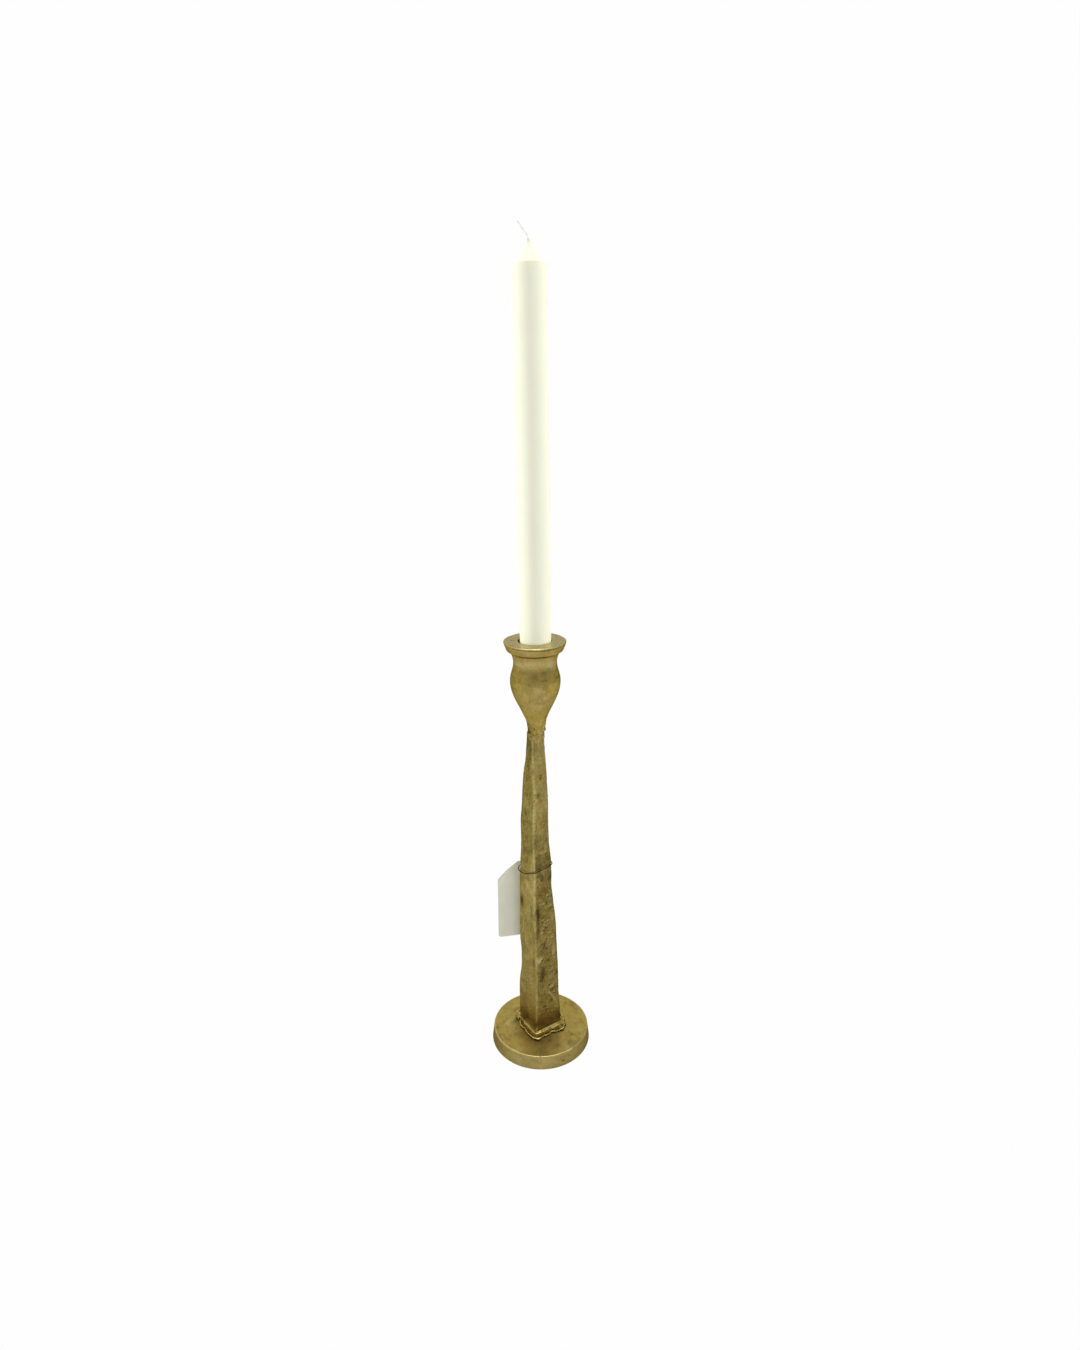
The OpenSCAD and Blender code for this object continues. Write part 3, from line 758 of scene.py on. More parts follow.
# %% Bar sections
# Each row: share of the way up, side, turn in degrees, share of the lean.
bar_rows = np.array([
    [0, 24.9, 102, 0], [0.025, 24.15, 100, 0.15], [0.11, 23.4, 97, 0.30], [0.19, 22.33, 96, 0.32],
    [0.26, 21.66, 97, 0.42], [0.37, 20.72, 97.5, 0.60], [0.44, 19.38, 96, 0.85], [0.52, 18.44, 94, 0.94],
    [0.59, 17.5, 94, 1.0], [0.65, 15.9, 94.5, 1.12], [0.72, 15.63, 94, 1.2], [0.78, 14.56, 93, 1.1],
    [0.85, 13.62, 93.5, 1.12], [0.88, 12.95, 98, 1.1], [0.91, 11.74, 104, 1], [0.95, 10.8, 109, 1],
    [1, 10, 112, 1]])
bar_l, lean_x, set_back, corner_r = 256.35, -4.1, 3.5, 1.33
bar_top_z = foot_h + bar_l
arc_steps, flat_steps = 7, 30
bar_levels = np.linspace(0, 1, 520)


def bar_section(share):
    """Points, outward directions, distance from the nearest long corner and its number, at one height."""
    side, turn, lean = [np.interp(share, bar_rows[:, 0], bar_rows[:, k]) for k in (1, 2, 3)]
    half, arc = side / 2, corner_r * 1.57
    run = 2 * (half - corner_r)
    points, outward, corner_gap, corner_no = [], [], [], []
    for corner in range(4):
        aim = math.radians(90 * corner - turn)
        hub = (half - corner_r) * math.sqrt(2) * np.array([math.cos(aim), math.sin(aim)])
        for k in range(arc_steps):
            a = aim + math.radians(-45 + 90 * k / (arc_steps - 1))
            points.append(hub + corner_r * np.array([math.cos(a), math.sin(a)]))
            outward.append((math.cos(a), math.sin(a)))
            corner_gap.append(abs(k / (arc_steps - 1) - 0.5) * arc)
            corner_no.append(corner)
        a = aim + math.radians(45)
        along = np.array([-math.sin(a), math.cos(a)])
        start = hub + corner_r * np.array([math.cos(a), math.sin(a)])
        for k in range(1, flat_steps):
            points.append(start + along * run * k / flat_steps)
            outward.append((math.cos(a), math.sin(a)))
            corner_gap.append(arc / 2 + run * min(k, flat_steps - k) / flat_steps)
            corner_no.append(corner if k < flat_steps / 2 else (corner + 1) % 4)
    points = np.array(points) + [lean_x * lean, set_back]
    return points, np.array(outward), np.array(corner_gap), np.array(corner_no)


bar_xy, bar_out, gap, corner = [np.concatenate(part) for part in zip(*map(bar_section, bar_levels))]
ring = len(bar_xy) // len(bar_levels)
bar_z = np.repeat(foot_h + bar_levels * bar_l, ring)
bar_x = bar_xy[:, 0]
bar_points = np.column_stack([bar_xy, bar_z])
print("bar:", len(bar_levels), "sections of", ring)

# %% Hammer flats and scale
stretched = bar_points * [1, 1, 0.55]
hammer = grain(stretched, 11, 31, 2) * 0.28
right_face = np.clip(bar_out[:, 0] * 1.6, 0, 1) * (bar_out[:, 1] < 0.3)
left_face = np.clip(-bar_out[:, 0] * 1.6, 0, 1) * (bar_out[:, 1] < 0.3)
face_x = bar_x - bar_xy[:, 1]
slant = np.column_stack([(face_x + bar_z) * 0.5, (face_x - bar_z) * 1.3, 0 * bar_z])
scale = grain(bar_points, 2.6, 32, 2) * 0.10 + grain(bar_points, 1.2, 33, 2) * 0.07
flaked = grain(slant, 3.6, 35, 2) * 0.09 + grain(bar_points, 1.6, 36, 2) * 0.12
flaked += grain(bar_points, 4.2, 37, 2) * 0.05
scale += right_face * (0.45 + 0.55 * ease(-bar_z, -190, -130)) * flaked
scale *= 1 - 0.35 * left_face
print(f"hammer flats to {np.abs(hammer).max():.2f} mm, scale to {np.abs(scale).max():.2f} mm")

# %% [markdown]
# ## Corners, swells and the cord's seat
# The long corners are chipped, most of all the front one. Two of them swell and draw in where the
# bar was struck, which gives the outline its slight waver. Where the cord is tied the faces are
# kept flat, so that the cord lies on them, and the two ends stay true for the filler to cover.

# %% Corners and swells
hollow = -0.16 * np.clip(gap / 5, 0, 1)
chipped = -0.32 * ease(grain(bar_points * [1, 1, 0.8], 3.4, 34, 2), 0.15, 0.75) * near(gap, 0, 1.5)
chipped *= 1 - 0.5 * (corner != 0)
side_edge = (corner != 0) * near(gap, 0, 2.0)
right_swell = 0.50 * near(bar_z, 114, 11) - 0.55 * near(bar_z, 141, 9)
left_swell = 0.3 * near(bar_z, 48, 8) - 0.95 * np.exp(-((bar_z - 73) / 14) ** 4)
swell = (corner == 1) * right_swell + (corner == 3) * left_swell
push = hammer + scale * (1 - 0.6 * side_edge) + hollow + chipped + swell * near(gap, 0, 4)
cord_at, cord_half = 156, 7
corded = np.exp(-((bar_z - cord_at) / cord_half) ** 4)
push = np.where(corded > 0.02, push * (1 - 0.8 * corded) - 0.12 * corded, push)
ends = ease(bar_z, foot_h, foot_h + 2) * ease(-bar_z, -bar_top_z, -bar_top_z + 2)
push *= ends
print(f"bar pushed in by {-push.min():.2f} mm and out by {push.max():.2f} mm")

# %% Rubbed corners, broad wear and painted light on the faces
front_face = bar_out[:, 1] < -0.1
# Masks for painted light and shade on the two front faces, by side and height.
left_low, left_top = left_face * ease(-bar_z, -175, -140), left_face * ease(bar_z, 244, 258)
right_low, right_high = right_face * ease(-bar_z, -175, -140), right_face * ease(bar_z, 165, 200)
bar_wear = near(gap, 0, 1.0) * np.clip(0.78 + 0.5 * grain(bar_points, 3.2, 41), 0, 1.2)
bar_wear *= np.where(corner == 0, 1, 0.35)
along_edge = np.column_stack([0 * bar_z, corner * 9.0, bar_z])
bar_wear *= np.where(gap < 4, 0.30 + 0.85 * ease(grain(along_edge, 9, 48, 2), -0.45, 0.35), 1)
upper_half = ease(bar_z, 122, 150) * ease(-bar_z, -262, -240)
rubbed_edge = near(gap, 0, 1.6) * (corner == 0) * ease(grain(bar_points, 1.8, 42), -0.5, 0.4)
bar_wear += 0.60 * upper_half * rubbed_edge
bar_wear += 0.30 * ease(grain(stretched, 8, 43), 0.05, 0.75) + 0.75 * ease(scale, 0.07, 0.24)
# Painted highlights: the left face low down, the right face higher up and near its top.
bar_wear += 0.22 * left_low + 0.20 * right_high + 0.14 * right_face * ease(bar_z, 236, 250)
print(f"bar: {np.mean(bar_wear > 0.5):.0%} of its points worn")

# %% Stain, bloom and painted shade along the bar
bar_stain_and_shade = 0.45 * ease(grain(stretched, 5, 44), 0.30, 0.85) + 0.5 * ease(grain(bar_points, 1.6, 45), 0.55, 0.9)
# Painted shade on the right face low down and on the left face under the cup.
bar_stain_and_shade += 0.75 * ease(-scale, 0.06, 0.26) + 0.16 * right_low + 0.45 * left_top
bar_stain_and_shade += 0.30 * right_face * near(bar_z, 165, 8) + 0.10 * left_face * near(bar_z, 196, 22)
# Painted shade along the left, right and back corners, where they turn away.
bar_stain_and_shade += 0.35 * (corner != 0) * near(gap, 0, 1.2)
# A dark brown band round the bar's foot, less dark on the right face.
dark_foot_band = near(bar_z, 19.5, 5) * (0.75 + 0.6 * grain(bar_points, 3, 46))
bar_stain_and_shade += 0.75 * (1 - 0.45 * right_face) * dark_foot_band
# Painted light under the cup: the front and right faces lose most of their stain there, while the left face
# keeps its painted shade.
bar_stain_and_shade *= 1 - 0.7 * ease(bar_z, 238, 250) * (1 - left_face)
bar_bloom = 0.4 * ease(grain(stretched, 6, 47), 0.3, 0.8) + 0.5 * near(bar_z, 22, 6)
bar_bloom += 0.32 * right_face * ease(grain(stretched, 7, 52), -0.15, 0.45)
print(f"bar: {np.mean(bar_stain_and_shade > 0.5):.0%} of its points stained")

# %% Marks on the two front faces
# Each mark: across (x), height (z), half width, half height, depth, wear, stain, bloom.
marks = [
    (-0.4, 235, 1.0, 2.2, -0.2, 0, 0.7, 0), (-1.7, 221, 0.9, 1.8, -0.15, 0, 0.7, 0),
    (-4.4, 224, 0.7, 1.6, 0.1, 1, 0, 0), (-3.2, 217, 0.8, 1.2, 0.1, 1, 0, 0),
    (-4.5, 208, 0.8, 1.4, 0.1, 1, 0, 0), (-3.6, 184, 2.2, 6, -0.1, 0.1, 0.45, 0.2),
    (0.0, 172.6, 0.9, 0.9, 0.05, 1, 0, 0),
    (-10.5, 144, 1.6, 3.6, -0.35, 0.8, 0, 0), (-7.6, 139, 1.6, 3.0, -0.3, 0.7, 0, 0),
    (-15.0, 127, 1.3, 6, -0.2, 0, 0.9, 0.3), (-13.8, 105.6, 0.5, 6, 0.15, 0.9, 0, 0),
    (-12.0, 95, 0.6, 5, 0.1, 0.6, 0, 0), (-10.7, 88.8, 0.6, 4, 0.1, 0.6, 0, 0),
    (-1.9, 120, 1.6, 6.5, -0.25, 0, 0.9, 0.2), (-1.9, 107.4, 1.1, 4.5, -0.1, 0, 0.3, 0.9),
    (3.6, 109, 1.9, 3.4, 0.1, 0.3, 0, 0), (0.8, 101.6, 1.8, 3.6, 0.1, 0.3, 0, 0),
    (-1.6, 79.3, 1.9, 2.8, 0.25, 1, 0, 0), (1.6, 66, 2.2, 7, -0.25, 0, 0.8, 0.2),
    (10.2, 82.6, 1.4, 8, 0.05, 0.6, 0, 0), (9.0, 50.3, 0.7, 1.0, 0.35, 1, 0, 0),
    (-12.5, 36, 3.0, 6, 0, 0, 0.1, 0.55), (4.0, 246, 1.3, 8, 0.05, 0.5, 0, 0.1),
    (3.4, 190, 1.5, 12, 0, 0.1, 0.1, 0.5), (-9.5, 232, 1.4, 12, 0, 0, 0.25, 0)]
wobble = 1 + 0.35 * grain(bar_points, 1.6, 50, 2)
for x, z, wide, tall, deep, worn, stained, red in marks:
    hit = np.exp(-(((bar_x - x) / wide) ** 2 + ((bar_z - z) / tall) ** 2) * wobble) * front_face
    push += deep * hit * ends
    bar_wear = bar_wear * (1 - stained * hit) + worn * hit
    bar_stain_and_shade = bar_stain_and_shade * (1 - worn * hit) + stained * hit
    bar_bloom = bar_bloom + red * hit
print("marks on the bar:", len(marks))

# %% [markdown]
# ## Nicks and scratches
# The right face is full of small bright nicks, each a crumb of raised metal with a hollow below it
# that is painted dark as its shadow, and three long scratches cross it near the foot. They are
# geometry as well as colour, so that they catch the light from any side. One noise makes every
# nick's outline ragged.

# %% Nicks
# Each nick: across (x), height (z), size.
nicks = [
    (1.8, 114, 0.9), (3.0, 112, 0.8), (2.6, 109.5, 0.9), (4.2, 108, 0.8), (2.2, 106.5, 0.8), (5.4, 112, 0.7),
    (1.0, 103.5, 1.0), (6.6, 101, 0.7), (8.3, 96, 0.8), (3.4, 98, 0.7), (0.4, 80.5, 1.1), (-0.6, 78.5, 1.0),
    (6.0, 84, 0.7), (9.6, 80, 0.8), (9.9, 72, 0.7), (7.5, 66, 0.8), (10.6, 62, 0.8), (9.0, 50.3, 1.2),
    (5.8, 54, 0.7), (10.9, 44, 0.7), (3.9, 90, 0.8), (7.4, 90, 0.7), (5.0, 134, 0.7), (2.4, 128, 0.8),
    (6.4, 124, 0.7), (3.6, 172, 0.8), (6.0, 181, 0.6), (2.0, 196, 0.7)]
ragged = 1 + 0.6 * grain(bar_points, 1.3, 53, 2)
for x, z, size in nicks:
    crumb = ((bar_x - x) / (0.8 * size)) ** 2 + ((bar_z - z) / size) ** 2
    under = ((bar_x - x - 0.4) / size) ** 2 + ((bar_z - z + 1.6 * size) / (0.7 * size)) ** 2
    hit, shadow_below = np.exp(-crumb * ragged) * front_face, np.exp(-under * ragged) * front_face
    push += (0.28 * hit - 0.18 * shadow_below) * ends
    bar_wear = bar_wear * (1 - 0.8 * shadow_below) + hit
    # Painted shadow: the hollow under each crumb is darkened.
    bar_stain_and_shade = bar_stain_and_shade * (1 - hit) + 0.65 * shadow_below
print("nicks in the bar:", len(nicks))

# %% Scratches
scratch_deep, scratch_wide = 0.12, 0.45
here = np.column_stack([bar_x, bar_z])
for start, finish in (((5, 49), (8.5, 43)), ((6.5, 47), (12, 36)), ((8, 44), (13, 33))):
    a, b = np.array(start, float), np.array(finish, float)
    t = np.clip(((here - a) @ (b - a)) / ((b - a) @ (b - a)), 0, 1)
    off = np.linalg.norm(here - a - t[:, None] * (b - a), axis=1)
    hit = near(off, 0, scratch_wide) * front_face
    push -= scratch_deep * hit
    bar_wear += 0.7 * hit
bar_points[:, :2] += bar_out * push[:, None]

# %% Close and finish the bar
low_mid, high_mid, top = len(bar_points), len(bar_points) + 1, (len(bar_levels) - 1) * ring
ends_mid = [[0, set_back, foot_h], [lean_x, set_back, bar_top_z]]
bar_faces = loft_faces(len(bar_levels), ring, closed=False)
bar_faces += [(low_mid, (i + 1) % ring, i) for i in range(ring)]
bar_faces += [(high_mid, top + i, top + (i + 1) % ring) for i in range(ring)]
bar = make_piece("forged_bar", np.vstack([bar_points, ends_mid]), bar_faces)
paint_marks(bar, *[np.append(values, [0, 0]) for values in (bar_wear, bar_stain_and_shade, bar_bloom)])
bar.data.materials.append(bar_brass)
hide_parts("stem")
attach(bar, "candlestick")

# %% [markdown]
# ## Filler at the bar's foot
# Where the bar meets the round foot, filler metal was run round by hand and left with a torn,
# raised lip, a flat behind it and a bright bead against the bar. It is built as a ring of short
# cross-sections. The outer plan is a list of points that wanders like the real edge, the section
# has the undercut below the lip, and noise breaks up both.

# %% Plan of the foot filler
filler_plan = np.array([
    (-20.8, 11.5), (-21.1, 6.8), (-17.1, -1.4), (-12.9, -9.5), (-8.8, -16.8), (-6.3, -19.6), (-4.7, -20.1),
    (-0.8, -20.7), (0.8, -19.6), (1.3, -17.4), (7.3, -14.0), (11.4, -11.2), (15.5, -9.5), (17.9, -8.9),
    (19.2, -3.8), (19.8, -0.3), (18.6, 5.0), (14.0, 12.0), (9.5, 18.0), (6.5, 23.5), (3.8, 26.0), (0.5, 25.8),
    (-3.5, 22.6), (-9.0, 19.6), (-15.0, 16.2), (-19.0, 14.4)])
filler_columns = 420
filler_angle = np.linspace(-math.pi, math.pi, filler_columns, endpoint=False)
compass = np.column_stack([np.cos(filler_angle), np.sin(filler_angle), np.zeros(filler_columns)])


def reach_round(plan, angles):
    """How far a closed plan, given from its own middle, reaches in each direction."""
    at = np.arctan2(plan[:, 1], plan[:, 0])
    order = np.argsort(at)
    return np.interp(angles, at[order], np.hypot(*plan.T)[order], period=2 * math.pi)


filler_reach = reach_round(filler_plan - [0, set_back], filler_angle)
filler_reach = sum(np.roll(filler_reach, k) for k in range(-3, 4)) / 7
bar_reach = reach_round(bar_section(0.004)[0] - [0, set_back], filler_angle)
print(f"filler reaches {filler_reach.min():.1f} to {filler_reach.max():.1f} mm from the bar's middle")

# %% Section of the foot filler
# Each row: share of the way out, height above the foot, how much noise it takes.
section = [
    (-0.25, 0.0, 0), (-0.25, 2.3, 0), (-0.03, 2.5, 0.3), (0.05, 2.3, 0.4), (0.13, 1.7, 0.4),
    (0.24, 1.25, 0.4), (0.38, 1.1, 0.5), (0.52, 1.05, 0.5), (0.66, 1.1, 0.6), (0.78, 1.25, 0.8),
    (0.88, 1.5, 1.0), (0.95, 1.6, 1.0), (1.0, 1.4, 1.0), (1.02, 1.05, 1.0), (0.97, 0.7, 0.8),
    (0.93, 0.35, 0.5), (0.93, 0.0, 0)]
# The left arm is lower near the bar: share of the way out, height.
left_rise = [(-0.25, 2.3), (-0.03, 2.1), (0.1, 1.1), (0.3, 0.7), (0.6, 0.8), (0.8, 1.5), (0.9, 1.8), (1.0, 1.4)]
right_arm = ease(filler_angle, -1.85, -1.5) * ease(-filler_angle, -0.4, 0.2)
rim_walk = compass * 21
torn = grain(rim_walk, 2.4, 61, 3) * 0.85 + grain(rim_walk, 6, 62, 2) * 0.8
widest, least_rise = 10, 0.15


def front_corner(row):
    return near(row[:, 0], -2, 3.6) * near(row[:, 1], -19.3, 2.2)


def filler_row(share, rise, loose):
    """One closed line of points round the bar."""
    under = rise == 0 or (share > 0.9 and rise < 1.2)
    height = rise if under else right_arm * rise + (1 - right_arm) * np.interp(share, *zip(*left_rise))
    reach_out = bar_reach + (filler_reach - bar_reach) * share + torn * loose * max(share, 0)
    row = compass * np.minimum(reach_out, bar_reach + widest)[:, None] + [0, set_back, 0]
    lump = grain(row * [1, 1, 0] + [0, 0, rise], 2.8, 63, 3) * 0.6 + grain(row * [1, 1, 0], 5, 64, 2) * 0.3
    lump += 1.3 * near(np.hypot(row[:, 0] + 18.3, row[:, 1] - 3.0), 0, 2.0)
    lump -= 2.6 * near(np.hypot(row[:, 0] + 17.3, row[:, 1] - 1.6), 0, 0.8)
    row[:, 2] = foot_h + np.maximum(height + lump * loose * (rise > 0), least_rise if rise else 0)
    row[:, 2] += 0.9 * front_corner(row) * (rise > 1.0)
    return row


filler_rows = [filler_row(*line) for line in section]

# %% Marks, painted highlight and painted shade on the foot filler
patchy = ease(grain(rim_walk, 3.6, 68, 2), -0.05, 0.5)
shaded = ease(grain(rim_walk, 4.2, 69, 2), -0.35, 0.3)
filler_wear, filler_stain_and_shade, filler_bloom_and_shade = [], [], []
for (share, rise, loose), row in zip(section, filler_rows):
    bead = near(share, 0.10, 0.06) * (0.10 + 0.75 * right_arm) * (0.35 + 0.75 * shaded)
    lip_wear = near(share, 0.94, 0.08) * (rise > 1.0) * (0.12 + (0.25 + 0.75 * right_arm) * patchy)
    # Painted highlight: the rounded front corner of the lip is painted bright, as the light it catches from
    # above.
    lip_wear += 1.2 * front_corner(row) * (share > 0.4) * (rise > 1.0)
    filler_wear.append(np.clip(0.75 * bead + lip_wear, 0, 1) * (0.8 + 0.5 * grain(row, 1.6, 65)))
    # Painted shadow: the undercut below the lip is darkened.
    stain_and_shade = (0.30 + 0.65 * shaded) * (rise < 1.2 and share > 0.9)
    # Painted shade: on the left arm the filler next to the bar is darkened.
    stain_and_shade += 0.75 * near(share, 0.0, 0.10) * (1 - 0.8 * right_arm)
    stain_and_shade += 0.6 * ease(grain(row, 2.2, 66), 0.1, 0.6) * (0.1 < share < 0.9)
    stain_and_shade += 0.9 * near(np.hypot(row[:, 0] + 17.3, row[:, 1] - 1.6), 0, 0.9)
    filler_stain_and_shade.append(stain_and_shade)
    # Red-brown under the lip and at the bar, partly the red tint of the painted shade there.
    filler_bloom_and_shade.append(0.35 * ease(grain(row, 4, 67), 0.1, 0.7) + (0.3 if rise < 0.9 else 0))

# %% Foot filler
filler_faces = loft_faces(len(section), filler_columns, closed=True)
filler = make_piece("foot_filler", np.concatenate(filler_rows), filler_faces)
paint_marks(filler, *map(np.concatenate, (filler_wear, filler_stain_and_shade, filler_bloom_and_shade)))
filler.data.materials.append(braze_brass)
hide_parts("foot_braze")
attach(filler, "candlestick")

# %% [markdown]
# ## Filler at the neck
# Under the cup's round tail the filler hangs like a short drip: wide at the top where it meets
# the tail, ragged at the bottom where it ran down the flats. It is a shell lofted from the tail's
# circle to just outside the bar, with its lower edge at a different height all the way round.

# %% Shape of the neck filler
collar_columns, collar_rows = 160, 18
collar_angle = np.linspace(-math.pi, math.pi, collar_columns, endpoint=False)
collar_way = np.column_stack([np.cos(collar_angle), np.sin(collar_angle), np.zeros(collar_columns)])
drop_h = 5.2 + 3.2 * np.cos(collar_angle + 0.9) + 2.8 * grain(collar_way * 6, 2.4, 71, 3)
bar_near = reach_round(bar_section(0.985)[0] - [lean_x, set_back], collar_angle)
collar_top_z = tail_place[2] + 0.15
under_tail, over_bar, dive, inner_gap, inner_r = 0.15, 0.30, 0.75, 0.9, 3.0
collar_lines = []
for k in range(collar_rows + 1):
    t = k / collar_rows
    bulge = 0.30 * math.sin(math.pi * min(t * 1.6, 1))
    tail_at = np.array([tail_place[0], set_back]) * (1 - t) + np.array([lean_x, set_back]) * t
    reach_low = bar_near + over_bar - dive * ease(t, 0.55, 1.0)
    row = collar_way * ((tail_r - under_tail) * (1 - t) + reach_low * t + bulge)[:, None]
    row += collar_way * (grain(row + [0, 0, 5 * t], 1.7, 72, 3) * 0.42)[:, None]
    row[:, :2] += tail_at
    row[:, 2] = collar_top_z - drop_h * t
    collar_lines.append(row)
inner = collar_way * (bar_near - inner_gap)[:, None] + [lean_x, set_back, 0]
inner[:, 2] = tail_place[2] - drop_h - 0.1
inner_top = collar_way * inner_r + [tail_place[0], set_back, collar_top_z]
collar_lines += [inner, inner_top]

# %% Neck filler
collar_points = np.concatenate(collar_lines)
collar_faces = loft_faces(len(collar_lines), collar_columns, closed=True)
collar = make_piece("neck_filler", collar_points, collar_faces)
collar_x, collar_y, collar_z = collar_points.T
hole = near(collar_x, -7.2, 0.6) * near(collar_z, 266.4, 0.6) * (collar_y < 2)
move_points(collar, collar_points + np.outer(hole, [0, 1.1, 0]))
# Painted shade: the neck filler's left side is darker; the rest is random dirt and the dark hole.
dirt_and_shade = 0.40 * ease(-collar_x, 7.2, 9.6) + 0.95 * hole + 0.6 * ease(grain(collar_points, 1.4, 74), 0.45, 0.9)
collar_bloom = 0.4 * ease(grain(collar_points, 2.5, 75), 0.2, 0.8)
paint_marks(collar, 0.16 + 0.5 * grain(collar_points, 1.5, 73), dirt_and_shade, collar_bloom)
collar.data.materials.append(braze_brass)
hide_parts("neck_braze")
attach(collar, "candlestick")

# %% [markdown]
# ## Candle
# A dipped dinner candle: a plain ivory column, very slightly uneven, with a hollow-sided tip. A
# slightly darker, warmer band is painted down its front, a painted reflection of the darker room
# on that side. The same lathe makes it, with no tool marks and a little waver. Wax is a scattering
# solid, so its shader lets light in a couple of millimetres, keeps a soft shine, and has a faint
# vertical drag in its bump.


# %% Wax finish
def wax_look():
    look, n, shader = new_look("ivory_wax")
    at = n.add("ShaderNodeTexCoord").outputs["Object"]
    fine = n.noise(at, 900.0, 2.0)
    ivory = n.mix(n.noise(at, 60.0, 3.0), (0.905, 0.93, 0.725), (0.935, 0.96, 0.785))
    # Painted reflection: a slightly darker, warmer band down the candle's front.
    n.put(shader, "Base Color", n.mix(n.painted("seam"), ivory, (0.90, 0.865, 0.72)))
    shader.inputs["Subsurface Weight"].default_value = 0.35
    shader.inputs["Subsurface Radius"].default_value = (0.8, 0.7, 0.45)
    shader.inputs["Subsurface Scale"].default_value = 0.004
    shader.inputs["IOR"].default_value = 1.44
    n.put(shader, "Roughness", n.spread(fine, 0.3, 0.7, 0.36, 0.48))
    drag = n.add("ShaderNodeMapping", Vector=at)
    n.put(drag, "Scale", (500.0, 500.0, 22.0))
    height = n.math("MULTIPLY_ADD", fine, 0.3, n.noise(drag.outputs[0], 1.0, 2.0))
    bump = n.add("ShaderNodeBump", Strength=0.12, Distance=0.15 * MM, Height=height)
    n.put(shader, "Normal", bump.outputs[0])
    return look


wax = wax_look()

# %% Candle
candle_r, candle_l, tip_h, wick_r, butt_edge, shoulder = 11.0, 281.0, 13.5, 0.75, 1.2, 0.3
tip_r, bore_r, tip_z = wick_r + 0.35, wick_r + 0.05, candle_l - tip_h
candle_line = [(bore_r, 0), (candle_r - butt_edge, 0), (candle_r, butt_edge), (candle_r, tip_z - shoulder)]
candle_line += [(candle_r - shoulder, tip_z)]
for t in np.linspace(0.05, 1, 24):
    candle_line.append((tip_r + (candle_r - shoulder - tip_r) * (1 - t) ** 1.5, tip_z + t * tip_h))
candle_line += [(bore_r, candle_l), (bore_r, 0)]
candle_profile = refine(soften(candle_line, 0.3), 1.2)
candle = turn_on_lathe("dipped_candle", candle_profile, wax, 128, waver=0.10, seed=11)
candle_butt, candle_lean = np.array([-3.462, 3.5, 312.612]), 0.9


def stand_candle(points):
    return np.asarray(points) @ lean_matrix(candle_lean).T + candle_butt


own = points_of(candle)
side_angle = np.degrees(np.arctan2(own[:, 1], own[:, 0]))
# The painted reflection band runs down the front and stops below the tip.
seam = 0.45 * np.exp(-((side_angle + 96) / 12) ** 4) * (own[:, 2] < tip_z - 0.5)
paint(candle, "seam", seam * (0.85 + 0.3 * grain(own, 25, 91)))
bowed = ease(own[:, 2], 30, 60) * ease(-own[:, 2], -candle_l, -candle_l + 60)
own[:, 0] += 0.25 * np.sin(own[:, 2] / 95.0) * bowed
move_points(candle, stand_candle(own))
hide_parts("candle_wax")
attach(candle, "candle")

# %% [markdown]
# ## Braids
# The wick and the elastic cord are both braids: a few round strands that spiral round one path,
# half of them each way. A second tree does this. It takes the path as a line of points, resamples
# it, shifts each point round the path by an angle that grows with length, and wraps each strand
# in a small tube. Inputs are the strand count, the strand's radius, the braid's radius and the
# turns for each metre.

# %% Braid tree
def scaled(n, direction, amount):
    node = n.add("ShaderNodeVectorMath", {"operation": "SCALE"})
    n.put(node, 0, direction)
    n.put(node, "Scale", amount)
    return node.outputs[0]


